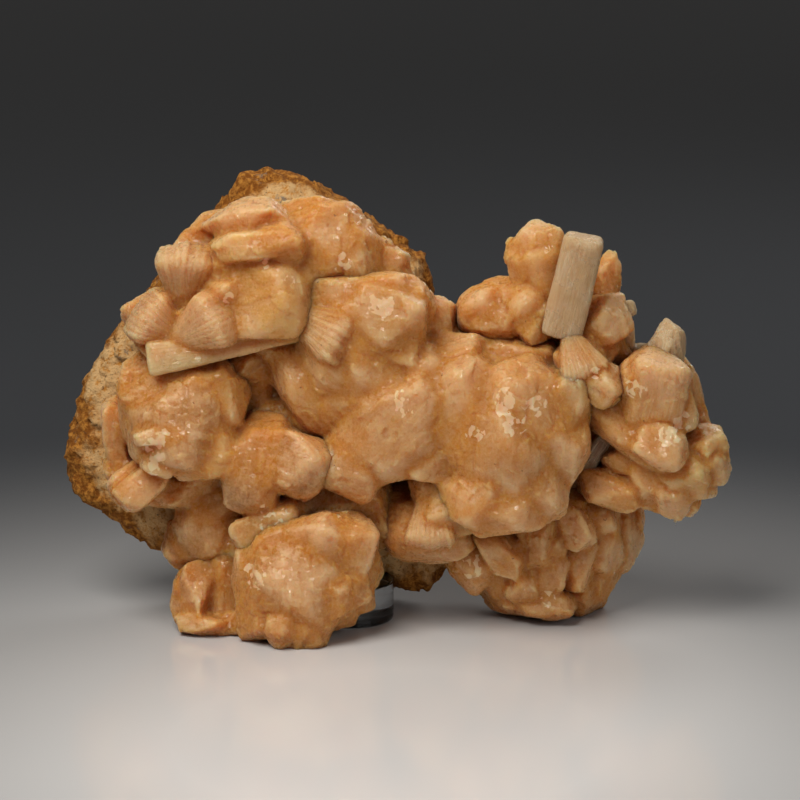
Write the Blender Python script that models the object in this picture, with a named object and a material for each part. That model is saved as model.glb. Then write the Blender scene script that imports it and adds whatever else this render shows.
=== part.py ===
"""A stilbite cluster: peach sheaves and balls of tabular crystals, grown together over a leaning plate
of weathered rock and propped from below by a short clear acrylic rod.

X runs to the right, Y away from the viewer and Z up. The origin is on the surface that it stands on,
below the middle of its box.
Sizes and places are in millimetres, and MM turns them into Blender's metres."""

import math
import random
from collections import namedtuple

import bmesh
import bpy
import numpy as np
from mathutils import Matrix, Vector, noise

MM = 0.001
SEED = 7

# The clearance that pieces which touch keep between them. The crystals' broken backs keep a little more
# from the rock, whose facets are coarse there.
GAP = 0.3
ROCK_GAP = 0.45

# The rod under the plate: seven eighths of an inch of clear acrylic, sawn to length.
ROD_RADIUS = 11.1
ROD_HEIGHT = 10.0
ROD_PLACE = (-11.2, 3.0)
ROD_EDGE = 0.5
ROD_SIDES = 32

# The plate of rock: its outline (X, Z) as seen from the front, and how it leans back.
PLATE_CENTRE = (-16, 52)
PLATE_OUTLINE = [
    (-83.5, 34), (-82, 46), (-79, 54), (-75, 63), (-72, 70), (-65, 77), (-57, 86), (-50, 92), (-45, 98),
    (-39, 106), (-33, 109), (-27, 107), (-19, 105), (-12, 101), (-4, 97), (4, 93), (8, 86), (12, 75), (20, 64),
    (34, 60), (44, 52), (49, 40), (48, 28), (42, 18), (30, 12), (20, 13), (13, 11), (9, 5.5), (3, 4),
    (-3, 7), (-16, 7), (-34, 5), (-44, 2), (-53, 8), (-60, 15), (-69, 22), (-76, 26), (-82, 30),
]
PLATE_HALF_DEPTH = 11.5
PLATE_FOOT_Y = 14.0
PLATE_LEAN = 0.09
PLATE_SQUARENESS = 3.0
PLATE_SPREAD = 1.5
LUMP_SIZE = 11.0
LUMP_HEIGHT = 1.9
GRAIN_SIZE = 3.6
GRAIN_HEIGHT = 0.5

# The rock's toe, which reaches forward under the lowest crystals on the left.
TOE_PLACE = (-45.0, 3.0, 5.0)
TOE_SIZE = (10.0, 11.0, 6.0)

# A block below the surface, which cuts the feet flat where they stand.
GROUND_SIZE = (300, 300, 40)

# Each piece's colour, roughness and alpha: a dull rock, pearly crystals and polished acrylic.
ROCK_FINISH = ((0.50, 0.33, 0.17), 0.9, 1.0)
PEACH_FINISH = ((0.80, 0.49, 0.26), 0.35, 1.0)
CLEAR_FINISH = ((0.93, 0.96, 0.97), 0.05, 0.3)

# A sheaf is a fan of blades that pass through its root and end at its tip. Width is measured across
# the blades and thick through them. Behind is how far they go on past the root. The blades are spread
# by fan degrees each way across, and by tilt degrees each way through, in across and deep steps.
# Face is the way that the blades' broad side looks, and corner is how much of the width is cut away.
Sheaf = namedtuple("Sheaf", "root tip width thick behind fan tilt across deep face corner",
                   defaults=(0, 0, 0, 1, 1, (0, -1, 0.25), 0.27))
UP = (0.1, 0.25, 1)

# A ball is a round tuft of count blades, spread up to fan degrees about the line from root to tip.
Ball = namedtuple("Ball", "root tip width thick behind fan count face corner",
                  defaults=(0, 20, 7, UP, 0.32))

# The bow-tie of the upper left: a honey block with a lip over it, three wings and a long pale blade.
UPPER_LEFT = [
    Sheaf((-43, 4, 80), (-20, -12, 83.5), 19, 15, behind=4, fan=7, tilt=9, across=2, deep=2),
    Sheaf((-38.5, 5, 90), (-31.5, -2, 104), 16, 9, behind=6, fan=16, across=3),
    Sheaf((-45.5, 4, 77), (-53, 0, 98), 7, 6, behind=4, fan=15, tilt=7, across=3, deep=2),
    Sheaf((-45.5, 3, 77), (-63, -4, 80.5), 8, 8, behind=5, fan=14, across=2),
    Sheaf((-42, -4, 74), (-62, -12, 69.5), 5.5, 10, behind=21, fan=5, across=2, corner=0.35),
    Sheaf((-39, -6, 78), (-51, -11, 79.5), 10, 8, behind=2, corner=0.3),
    Sheaf((-50, 8, 84), (-58, 5, 90), 12, 9, behind=8),
    Sheaf((-52, 8, 68), (-60, 4, 69), 13, 9, behind=12),
]

# The ball at the top of the plate and the small pale one beside it.
TOP = [
    Ball((-16.5, 8, 94), (-16, -9, 99.5), 12, 11, fan=27, count=7),
    Sheaf((-0.5, 8, 86), (-2, 3, 95), 8, 6, behind=4, fan=9, across=2),
]

# The broad fan of the middle, with the small one at its right.
MIDDLE = [
    Sheaf((-26.5, 5, 76.5), (3, -10, 62), 9, 13, behind=6, fan=37, tilt=10, across=5, deep=2),
    Sheaf((-22, 2, 84), (-4, -8, 84), 9, 11, behind=4, fan=8, across=2),
    Sheaf((11, 8, 70), (10.5, 1, 82), 7.5, 7, behind=6, fan=7, across=2),
    Sheaf((-3, 8, 66), (6, -4, 70), 14, 11, behind=6),
]

# The ball on the left with its fringe, and the small crystals packed to its right and below it.
LEFT = [
    Ball((-54.5, 12, 47), (-53.5, -18, 51), 14, 13, fan=27, count=9),
    Sheaf((-66, 10, 44), (-71.5, -4, 52), 14, 5, behind=3, fan=8, across=2, face=UP),
    Sheaf((-61.5, 2, 39.5), (-66, -10, 35), 9, 8, behind=4, fan=12, across=2),
    Sheaf((-50.5, 7, 38), (-52, -3, 31.5), 13, 8, behind=4),
    Sheaf((-34.5, 8, 48), (-34.5, -2, 67.5), 8, 8, behind=4, fan=6, across=2),
    Sheaf((-26.5, 9, 44.5), (-27.5, 3, 64), 10, 8, behind=4),
    Sheaf((-36, 5, 46), (-36, -12, 34), 13, 12, behind=2, fan=9, across=2),
    Sheaf((-29, 4, 44), (-16.5, -13, 44.5), 14, 12, behind=4, fan=14, tilt=9, across=2, deep=2, corner=0.3),
    Sheaf((-45, 12, 26), (-48, -5, 25), 14, 14, behind=4, fan=8, across=2, face=UP),
    Sheaf((-33.5, 6, 21), (-32, -14, 30.5), 15, 11, behind=3, fan=8, across=2, face=UP),
    Sheaf((-38, 8, 33), (-36, -6, 26), 13, 12, behind=4),
    Sheaf((-22, 9, 34), (-20, -8, 31), 14, 11, behind=3, fan=9, across=2),
]

# The ball low on the left, the spike that it stands on and the crystals at its sides.
LOWER_LEFT = [
    Ball((-21.5, 4, 16), (-20, -28, 16), 12, 11, fan=32, count=11),
    Sheaf((-25, -19, 10), (-27, -29, -1), 9, 8, behind=4, corner=0.3),
    Sheaf((-30, -14, 9), (-36, -22, 5), 9, 9, behind=6),
    Sheaf((-46, -2, 19), (-50, -9, 1), 9, 9, fan=6, across=2, corner=0.35),
    Sheaf((-40.5, -3, 20), (-41.5, -11, 1), 8, 9, fan=5, across=2),
    Sheaf((-6, 8, 26), (-8, -7, 26), 11, 13, behind=3),
]

# The great ball of the centre, the crystals that crowd round it and the pale fan that hangs below.
CENTRE = [
    Ball((26.5, 6, 47), (25.5, -28, 50), 15, 14, fan=42, count=17),
    Sheaf((1.5, 5, 51.5), (-14, -10, 38.5), 15, 14, behind=11, fan=15, tilt=11, across=3, deep=2),
    Sheaf((15, 4, 57), (12, -20, 62.5), 18, 19, face=UP, fan=8, across=2, corner=0.25),
    Sheaf((22.5, 3, 38), (22.5, -21, 35.5), 17, 15, fan=15, across=2, face=UP),
    Sheaf((41, 0, 45), (43.5, -15, 44), 12, 15, face=UP, fan=6, across=2),
    Sheaf((8, 7, 33), (8, -8, 19), 9, 11, behind=5, fan=25, tilt=8, across=3, deep=2),
    Sheaf((0, 8, 40), (4, -8, 33), 16, 13, behind=4),
    Sheaf((27, 9, 28), (30, -8, 28), 18, 12, behind=3, face=UP),
]

# The spray at the top right: a yellow fan, the long prism over it and the lumps and tufts below.
TOP_RIGHT = [
    Sheaf((40, 6, 74), (35.5, -2, 101.5), 8, 9, behind=8, fan=12, tilt=6, across=4, deep=1, corner=0.3),
    Sheaf((40, -6, 74), (47, -12, 102.5), 10.5, 8, behind=3, corner=0.16),
    Sheaf((30, 6, 74.5), (20, -4, 84), 11, 11, behind=4, fan=12, across=2),
    Sheaf((34, 2, 75), (31.5, -8, 87), 11, 12, behind=6, fan=12, across=2),
    Sheaf((47, 8, 74), (53.5, 4, 89.5), 9, 8, behind=6, fan=8, across=2),
    Sheaf((50, 2, 71), (51.5, -8, 79.5), 10, 9, behind=5),
    Sheaf((54, 0, 75.5), (59, -2, 82), 5, 4.5, behind=5),
    Sheaf((54, 2, 73.5), (59, 0, 71.5), 6, 4, behind=5),
    Sheaf((42, -1, 75), (50, -12, 62), 7, 11, behind=4, fan=18, across=3),
    Sheaf((42, 10, 68), (49, 2, 60), 15, 13, behind=6, fan=10, across=2),
    Sheaf((38, 8, 78), (33, 19, 88), 12, 9, behind=4, fan=14, across=2, face=(0, 1, 0.3)),
    Sheaf((48, 8, 72), (56, 19, 76), 11, 9, behind=5, fan=14, across=2, face=(0, 1, 0.3)),
]

# The spray at the right: a whitish chunk, a pale prism under it, rounded petals and a small spike.
RIGHT = [
    Sheaf((66, 6, 58), (64.5, -13, 63), 16, 15, fan=8, across=2, face=UP, corner=0.25),
    Sheaf((68.5, 3, 65), (67.5, -3, 74), 8.5, 7.5, behind=5, corner=0.35),
    Sheaf((62.5, 5, 64), (61, 2, 70.5), 5, 4, behind=4),
    Sheaf((71, 8, 55.5), (76.5, 0, 53), 9, 8, behind=5, fan=10, across=2),
    Sheaf((50, 2, 57), (64.5, -14, 46.5), 14, 11, behind=3, corner=0.25),
    Sheaf((69, 5, 44), (81, -6, 45.5), 12, 9, behind=5, fan=12, across=2),
    Sheaf((68.5, 5, 40), (74.5, -6, 33), 12, 10, behind=5, fan=9, across=2),
    Sheaf((66, 3, 42), (63.5, -6, 32.5), 10, 9, behind=5),
    Sheaf((71.5, 2, 33), (71.5, 0, 24.5), 3.5, 3.5, behind=4, corner=0.35),
    Sheaf((63, 4, 40.5), (53, -2, 42), 6, 7, behind=5),
    Sheaf((62, 5, 35), (47.5, -3, 37), 7.5, 9, behind=5, fan=7, across=2),
    Sheaf((51, 2, 38), (52.5, -3, 51), 5, 5, behind=4, corner=0.3),
    Sheaf((60, 8, 52), (46, 10, 52), 16, 12, behind=4),
    Sheaf((64, 8, 50), (68, 19, 56), 14, 12, behind=5, fan=14, across=2, face=(0, 1, 0.3)),
]

# The mass at the lower right, which stands on its lowest crystals.
LOWER_RIGHT = [
    Sheaf((45.5, 16, 24), (48.5, 3, 15), 15, 15, behind=7, fan=19, tilt=17, across=3, deep=2),
    Sheaf((47, 12, 13), (52, 3, 7), 11, 10, behind=4, fan=9, across=2),
    Sheaf((23, 6, 14), (20.5, -10, 9), 11, 9, behind=8, fan=9, across=2, corner=0.3),
    Sheaf((31, 8, 24), (28, -6, 14.5), 9, 9, behind=3, fan=6, across=2),
    Sheaf((38.5, 8, 27), (37.5, -6, 18), 8.5, 9, behind=3, fan=6, across=2),
    Sheaf((42, 7, 30), (48.5, -8, 23), 8, 9, behind=3, fan=7, across=2),
    Sheaf((38.5, 6, 14), (38, -6, 9), 9, 9, behind=3),
    Sheaf((31, 8, 12), (30, -3, 6.5), 9, 9, behind=4),
    Sheaf((31, 7, 6), (43, -4, 2.5), 8, 9, behind=4, fan=14, tilt=6, across=2, deep=2, corner=0.28),
    Sheaf((44, 11, 8), (50.5, 5, 2), 8, 8, behind=4),
    Sheaf((38, 14, 12), (39, 10, -1), 12, 11, behind=4),
    Sheaf((46, 16, 22), (54, 24, 20), 14, 13, behind=5, fan=14, across=2, face=(0, 1, 0.3)),
]

STILBITE = UPPER_LEFT + TOP + MIDDLE + LEFT + LOWER_LEFT + CENTRE + TOP_RIGHT + RIGHT + LOWER_RIGHT
TIP_BEVEL = 0.26
THIN = 8.5
ROOT_SCATTER = 0.4
SHORTENING = 0.07
STEP_HEIGHT = 0.05
GOLDEN_ANGLE = math.pi * (3 - math.sqrt(5))

# The share of the crystals' triangles that is kept, and the angle below which two faces are one.
KEPT_SHARE = 0.7
FLAT_ANGLE = math.radians(0.5)


def new_object(name, mesh, collection):
    """Turn a bmesh into an object of that name."""
    data = bpy.data.meshes.new(name)
    mesh.to_mesh(data)
    mesh.free()
    thing = bpy.data.objects.new(name, data)
    collection.objects.link(thing)
    return thing


def blade(sheaf, turn, tip_over, length, chance, collection):
    """One tabular crystal: a block with the corners of its far end cut off, set near the sheaf's root."""
    mesh = bmesh.new()
    bmesh.ops.create_cube(mesh, size=1)
    for vert in mesh.verts:
        vert.co.x = (vert.co.x + 0.5) * (length + sheaf.behind) - sheaf.behind
        vert.co.y *= sheaf.width
        vert.co.z *= sheaf.thick
    corners = [edge for edge in mesh.edges if all(v.co.x > 0 for v in edge.verts)
               and edge.verts[0].co.y * edge.verts[1].co.y > 0]
    bmesh.ops.bevel(mesh, geom=corners, offset=sheaf.corner * sheaf.width, segments=1, affect="EDGES")
    if sheaf.thick > THIN:
        lips = [edge for edge in mesh.edges if all(v.co.x > length - MM for v in edge.verts)
                and edge.verts[0].co.z * edge.verts[1].co.z > 0]
        bmesh.ops.bevel(mesh, geom=lips, offset=TIP_BEVEL * sheaf.thick, segments=1, affect="EDGES")
    axis = (Vector(sheaf.tip) - Vector(sheaf.root)).normalized()
    side = Vector(sheaf.face).cross(axis).normalized()
    frame = Matrix((axis, side, axis.cross(side))).transposed().to_4x4()
    scatter = Vector([chance.uniform(-ROOT_SCATTER, ROOT_SCATTER) for _ in range(3)])
    frame.translation = Vector(sheaf.root) + scatter
    spread = Matrix.Rotation(math.radians(turn), 4, "Z") @ Matrix.Rotation(math.radians(tip_over), 4, "Y")
    bmesh.ops.transform(mesh, matrix=Matrix.Scale(MM, 4) @ frame @ spread, verts=mesh.verts)
    bmesh.ops.recalc_face_normals(mesh, faces=mesh.faces)
    return new_object("blade", mesh, collection)


def steps(count):
    """Even steps from -1 to 1, or a single 0."""
    return [0.0] if count == 1 else [2 * i / (count - 1) - 1 for i in range(count)]


def sheaf_blades(sheaf, chance, collection):
    """The blades of one sheaf, the outer ones a little shorter and no two ending quite level."""
    full = (Vector(sheaf.tip) - Vector(sheaf.root)).length
    blades = []
    for a in steps(sheaf.across):
        for b in steps(sheaf.deep):
            length = full * (1 - SHORTENING * (abs(a) + abs(b)) - STEP_HEIGHT * chance.random())
            blades.append(blade(sheaf, a * sheaf.fan, b * sheaf.tilt, length, chance, collection))
    return blades


def ball_blades(ball, chance, collection):
    """The blades of one ball, set out like the seeds of a sunflower."""
    full = (Vector(ball.tip) - Vector(ball.root)).length
    blades = []
    for i in range(ball.count):
        lean = ball.fan * math.sqrt((i + 0.5) / ball.count)
        around = i * GOLDEN_ANGLE
        length = full * (1 - STEP_HEIGHT * chance.random())
        turn = lean * math.cos(around)
        tip_over = lean * math.sin(around)
        blades.append(blade(ball, turn, tip_over, length, chance, collection))
    return blades


def apply_booleans(thing, others, operation, solver="EXACT"):
    """Join or cut a mesh with others, one after another, and keep only the result."""
    for other in others:
        boolean = thing.modifiers.new(other.name, "BOOLEAN")
        boolean.operation = operation
        boolean.solver = solver
        boolean.object = other
    keep_result(thing)


def keep_result(thing):
    """Put what an object's modifiers make in place of its mesh."""
    bpy.context.view_layer.update()
    evaluated = thing.evaluated_get(bpy.context.evaluated_depsgraph_get())
    result = bpy.data.meshes.new_from_object(evaluated)
    thing.modifiers.clear()
    thing.data = result


def simplify(thing, share):
    """Keep a share of the triangles, letting go of the slivers where blades cross at a shallow angle."""
    decimate = thing.modifiers.new("simplify", "DECIMATE")
    decimate.ratio = share
    keep_result(thing)


def keep_largest(thing):
    """Drop the slivers that the cuts split off, and merge the faces that lie in one plane."""
    mesh = bmesh.new()
    mesh.from_mesh(thing.data)
    left = set(mesh.verts)
    islands = []
    while left:
        island = set()
        front = [left.pop()]
        while front:
            vert = front.pop()
            island.add(vert)
            near = {edge.other_vert(vert) for edge in vert.link_edges} & left
            left -= near
            front.extend(near)
        islands.append(island)
    islands.sort(key=len)
    for island in islands[:-1]:
        bmesh.ops.delete(mesh, geom=list(island), context="VERTS")
    bmesh.ops.dissolve_limit(mesh, angle_limit=FLAT_ANGLE, verts=mesh.verts, edges=mesh.edges)
    bmesh.ops.triangulate(mesh, faces=mesh.faces)
    mesh.to_mesh(thing.data)
    mesh.free()


def outline_reach(angle):
    """How far the plate's outline is from its centre at an angle in the X-Z plane."""
    points = np.array(PLATE_OUTLINE, float) - PLATE_CENTRE
    angles = np.arctan2(points[:, 1], points[:, 0])
    return np.interp(angle, angles, np.hypot(points[:, 0], points[:, 1]), period=2 * math.pi)


def rock_point(direction, grow):
    """Where a direction from the plate's middle meets its surface: a squarish pillow with lumps and grains."""
    u = Vector((direction.x, direction.y * PLATE_SPREAD, direction.z)).normalized()
    flat = math.hypot(u.x, u.z)
    scale = (flat ** PLATE_SQUARENESS + abs(u.y) ** PLATE_SQUARENESS) ** (-1 / PLATE_SQUARENESS)
    reach = outline_reach(math.atan2(u.z, u.x))
    rim = flat ** (PLATE_SQUARENESS - 2) / reach
    depth = abs(u.y) ** (PLATE_SQUARENESS - 2) / PLATE_HALF_DEPTH
    normal = Vector((u.x * rim, u.y * depth, u.z * rim)).normalized()
    x = PLATE_CENTRE[0] + u.x * scale * reach
    z = PLATE_CENTRE[1] + u.z * scale * reach
    y = PLATE_FOOT_Y + PLATE_LEAN * z + u.y * scale * PLATE_HALF_DEPTH
    place = Vector((x, y, z))
    lumps = LUMP_HEIGHT * noise.noise(place / LUMP_SIZE) + GRAIN_HEIGHT * noise.noise(place / GRAIN_SIZE)
    return place + normal * (lumps + grow)


def rock(name, grow, collection):
    """The plate of rock, with its toe joined on. Grow swells it evenly, to cut what lies on it."""
    mesh = bmesh.new()
    bmesh.ops.create_icosphere(mesh, subdivisions=4, radius=1)
    for vert in mesh.verts:
        vert.co = rock_point(vert.co, grow) * MM
    plate = new_object(name, mesh, collection)
    toe = bmesh.new()
    bmesh.ops.create_icosphere(toe, subdivisions=3, radius=1)
    for vert in toe.verts:
        place = Vector(TOE_PLACE) + Vector([c * (s + grow) for c, s in zip(vert.co, TOE_SIZE)])
        vert.co = (place + vert.co * LUMP_HEIGHT * noise.noise(place / LUMP_SIZE)) * MM
    toe = new_object("toe", toe, collection)
    apply_booleans(plate, [toe], "UNION")
    bpy.data.objects.remove(toe)
    return plate


def rod(name, grow, collection):
    """The acrylic rod: a cylinder with its sawn edges eased, standing on the surface."""
    mesh = bmesh.new()
    middle = Matrix.Translation((ROD_PLACE[0], ROD_PLACE[1], ROD_HEIGHT / 2))
    bmesh.ops.create_cone(mesh, cap_ends=True, segments=ROD_SIDES, radius1=ROD_RADIUS + grow,
                          radius2=ROD_RADIUS + grow, depth=ROD_HEIGHT + 2 * grow, matrix=middle)
    if not grow:
        rims = [edge for edge in mesh.edges if abs(edge.verts[0].co.z - edge.verts[1].co.z) < MM]
        bmesh.ops.bevel(mesh, geom=rims, offset=ROD_EDGE, segments=1, affect="EDGES")
    bmesh.ops.scale(mesh, vec=(MM, MM, MM), verts=mesh.verts)
    return new_object(name, mesh, collection)


def ground(collection):
    """A block whose top is the surface, to cut the feet flat."""
    mesh = bmesh.new()
    block = Matrix.Translation((0, 0, -GROUND_SIZE[2] / 2)) @ Matrix.Diagonal((*GROUND_SIZE, 1))
    bmesh.ops.create_cube(mesh, size=1, matrix=Matrix.Scale(MM, 4) @ block)
    return new_object("ground", mesh, collection)


def stand_on_origin(things):
    """Move the meshes level, so that the middle of their common box's lower face is at the origin."""
    places = np.array([vert.co for thing in things for vert in thing.data.vertices])
    low = places.min(axis=0)
    high = places.max(axis=0)
    shift = Matrix.Translation((-(low[0] + high[0]) / 2, -(low[1] + high[1]) / 2, 0))
    for thing in things:
        thing.data.transform(shift)


def paint(thing, colour, roughness, alpha):
    """Give an object a plain material of its own."""
    material = bpy.data.materials.new(thing.name)
    material.use_nodes = True
    shader = material.node_tree.nodes["Principled BSDF"]
    shader.inputs["Base Color"].default_value = (*colour, 1)
    shader.inputs["Roughness"].default_value = roughness
    shader.inputs["Metallic"].default_value = 0.0
    shader.inputs["Alpha"].default_value = alpha
    thing.data.materials.clear()
    thing.data.materials.append(material)


def build():
    for old in list(bpy.data.objects):
        bpy.data.objects.remove(old)
    parts = bpy.data.collections.new("stilbite_cluster")
    cutters = bpy.data.collections.new("cutters")
    bpy.context.scene.collection.children.link(parts)
    bpy.context.scene.collection.children.link(cutters)

    matrix = rock("matrix", 0, parts)
    acrylic_rest = rod("acrylic_rest", 0, parts)
    swollen_rock = rock("swollen_rock", ROCK_GAP, cutters)
    swollen_rod = rod("swollen_rod", GAP, cutters)
    floor = ground(cutters)

    chance = random.Random(SEED)
    blades = []
    for group in STILBITE:
        make = ball_blades if isinstance(group, Ball) else sheaf_blades
        blades += make(group, chance, cutters)
    crystals = blades[0]
    crystals.name = "stilbite_crystals"
    cutters.objects.unlink(crystals)
    parts.objects.link(crystals)
    # The exact solver leaves open edges where so many blades pass through one root.
    apply_booleans(crystals, blades[1:], "UNION", solver="MANIFOLD")
    for b in blades[1:]:
        bpy.data.objects.remove(b)
    apply_booleans(crystals, [swollen_rock, swollen_rod], "DIFFERENCE", solver="MANIFOLD")
    keep_largest(crystals)
    simplify(crystals, KEPT_SHARE)
    apply_booleans(crystals, [floor], "DIFFERENCE", solver="MANIFOLD")
    apply_booleans(matrix, [swollen_rod, floor], "DIFFERENCE")
    keep_largest(matrix)

    stand_on_origin(parts.objects)
    for cutter in cutters.objects:
        cutter.hide_render = True
        cutter.display_type = "WIRE"
    paint(matrix, *ROCK_FINISH)
    paint(crystals, *PEACH_FINISH)
    paint(acrylic_rest, *CLEAR_FINISH)


build()
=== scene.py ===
import math
from collections import namedtuple
from functools import partial

import bpy
import numpy as np
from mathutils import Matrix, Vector


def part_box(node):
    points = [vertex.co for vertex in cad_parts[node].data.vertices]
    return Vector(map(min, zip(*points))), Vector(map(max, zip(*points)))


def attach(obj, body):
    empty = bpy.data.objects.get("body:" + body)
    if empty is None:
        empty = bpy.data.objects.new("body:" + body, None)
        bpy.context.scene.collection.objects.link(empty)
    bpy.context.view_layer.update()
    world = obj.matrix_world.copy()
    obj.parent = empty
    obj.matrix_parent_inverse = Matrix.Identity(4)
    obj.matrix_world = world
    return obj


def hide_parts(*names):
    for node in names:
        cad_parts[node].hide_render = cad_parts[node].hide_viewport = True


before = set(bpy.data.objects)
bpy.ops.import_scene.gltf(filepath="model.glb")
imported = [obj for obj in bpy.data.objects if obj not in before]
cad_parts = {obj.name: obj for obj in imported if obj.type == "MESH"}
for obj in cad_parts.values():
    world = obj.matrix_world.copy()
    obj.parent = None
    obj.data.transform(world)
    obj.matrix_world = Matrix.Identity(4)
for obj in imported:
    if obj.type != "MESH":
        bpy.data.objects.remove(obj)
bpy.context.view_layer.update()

# Where things are. Places below are in millimetres, measured as in the construction, whose rod stands
# at ROD_PLACE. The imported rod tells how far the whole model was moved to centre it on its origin.
MM = 0.001
ROD_PLACE = np.array([-11.2, 3.0, 0.0])
rod_low, rod_high = (np.array(corner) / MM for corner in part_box("acrylic_rest"))
SHIFT = np.array([*((rod_low + rod_high) / 2 - ROD_PLACE)[:2], 0.0])


# The camera looks down 14 degrees on the specimen from a long way off, as a product lens does.
LENS = 150
DISTANCE = 0.833
LOOK_DOWN = math.radians(14)
AIM = (np.array([1.5, 0, 57.5]) + SHIFT) * MM
camera = bpy.data.objects.new("camera", bpy.data.cameras.new("camera"))
camera.data.lens = LENS
camera.location = AIM + DISTANCE * np.array([0, -math.cos(LOOK_DOWN), math.sin(LOOK_DOWN)])
camera.rotation_euler = (math.pi / 2 - LOOK_DOWN, 0, 0)
bpy.context.scene.collection.objects.link(camera)
bpy.context.scene.camera = camera
bpy.context.scene.view_settings.view_transform = "Standard"


# The prop under the specimen: seven eighths of an inch of clear acrylic rod, sawn across and polished.
# Its surface is a turned profile with eased rims and the faint waves that a saw leaves on the ends.
def turned_grid(profile, columns, middle):
    """A closed surface: every point of the profile (radius, height) goes round the upright axis."""
    around = np.linspace(0, 2 * math.pi, columns, endpoint=False)
    radius, height = np.array(profile).T
    ring = np.stack([np.outer(radius, np.cos(around)), np.outer(radius, np.sin(around)),
                     np.outer(height, np.ones(columns))], -1)
    return ring + middle


def closed_faces(rows, columns):
    """Corners of a closed grid with a pole at each end: fans at the poles and quads between its rings."""
    ring = np.arange(rows * columns).reshape(rows, columns) + 1
    beside = np.roll(ring, -1, axis=1)
    quads = np.stack([ring[:-1], ring[1:], beside[1:], beside[:-1]], -1).reshape(-1, 4)
    first = np.stack([np.zeros(columns, int), ring[0], beside[0]], -1)
    last = np.stack([np.full(columns, rows * columns + 1), beside[-1], ring[-1]], -1)
    return quads, np.concatenate([first, last])


def make_object(name, places, quads, triangles, attributes=()):
    """Put arrays of places in millimetres and of corners into a smooth mesh with its point attributes."""
    mesh = bpy.data.meshes.new(name)
    corners = np.concatenate([quads.ravel(), triangles.ravel()])
    counts = np.concatenate([np.full(len(quads), 4), np.full(len(triangles), 3)])
    mesh.vertices.add(len(places))
    mesh.vertices.foreach_set("co", ((places + SHIFT) * MM).astype(np.float32).ravel())
    mesh.loops.add(len(corners))
    mesh.loops.foreach_set("vertex_index", corners.astype(np.int32))
    mesh.polygons.add(len(counts))
    mesh.polygons.foreach_set("loop_start", (np.cumsum(counts) - counts).astype(np.int32))
    mesh.update(calc_edges=True)
    for label, values in attributes:
        kind = "FLOAT" if values.ndim == 1 else "FLOAT_VECTOR"
        field = "value" if values.ndim == 1 else "vector"
        mesh.attributes.new(label, kind, "POINT").data.foreach_set(field, values.astype(np.float32).ravel())
    mesh.shade_smooth()
    piece = bpy.data.objects.new(name, mesh)
    bpy.context.scene.collection.objects.link(piece)
    return piece


class Wire:
    """A node's output that can be used in Python sums: a + b, 1 - a and so on add Math nodes."""

    def __init__(self, tree, socket):
        self.tree = tree
        self.socket = socket

    def _math(self, operation, *values):
        return self.tree.node("ShaderNodeMath", {"operation": operation}, dict(enumerate(values)))

    def __add__(self, other):
        return self._math("ADD", self, other)

    def __radd__(self, other):
        return self._math("ADD", other, self)

    def __sub__(self, other):
        return self._math("SUBTRACT", self, other)

    def __rsub__(self, other):
        return self._math("SUBTRACT", other, self)

    def __mul__(self, other):
        return self._math("MULTIPLY", self, other)

    def __rmul__(self, other):
        return self._math("MULTIPLY", other, self)

    def __pow__(self, other):
        return self._math("POWER", self, other)

    def between(self, low, high):
        """0 below low, 1 above high, and smooth between them."""
        return self.tree.node("ShaderNodeMapRange", {"interpolation_type": "SMOOTHSTEP"},
                              {"Value": self, "From Min": low, "From Max": high})


class Finish:
    """A material with one Principled shader, and short ways to add what feeds it."""

    def __init__(self, name, **constants):
        self.material = bpy.data.materials.new(name)
        self.material.use_nodes = True
        self.nodes = self.material.node_tree.nodes
        self.links = self.material.node_tree.links
        self.shader = self.nodes["Principled BSDF"]
        for label, value in constants.items():
            self.shader.inputs[label.replace("_", " ")].default_value = value

    def node(self, kind, settings, values, output=0):
        """Any node: its settings first, then the values or wires of its sockets."""
        made = self.nodes.new(kind)
        for label, value in settings.items():
            setattr(made, label, value)
        for label, value in values.items():
            if isinstance(value, Wire):
                self.links.new(value.socket, made.inputs[label])
            else:
                made.inputs[label].default_value = value
        return Wire(self, made.outputs[output])

    def attribute(self, name, output="Fac"):
        return self.node("ShaderNodeAttribute", {"attribute_name": name}, {}, output)

    def place(self):
        return self.node("ShaderNodeTexCoord", {}, {}, "Object")

    def noise(self, vector, scale, detail=4.0, roughness=0.55):
        return self.node("ShaderNodeTexNoise", {}, {"Vector": vector, "Scale": scale, "Detail": detail,
                                                   "Roughness": roughness})

    def mix(self, share, first, second):
        """From the first colour to the second by share. A colour is a wire or three numbers."""
        first = first if isinstance(first, Wire) else (*first, 1)
        second = second if isinstance(second, Wire) else (*second, 1)
        return self.node("ShaderNodeMix", {"data_type": "RGBA"}, {0: share, 6: first, 7: second}, 2)

    def feed(self, label, wire):
        self.links.new(wire.socket, self.shader.inputs[label])

    def bump(self, height, distance):
        """Relief of a height from 0 to 1 that stands distance metres high."""
        self.feed("Normal", self.node("ShaderNodeBump", {}, {"Height": height, "Distance": distance}))


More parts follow.
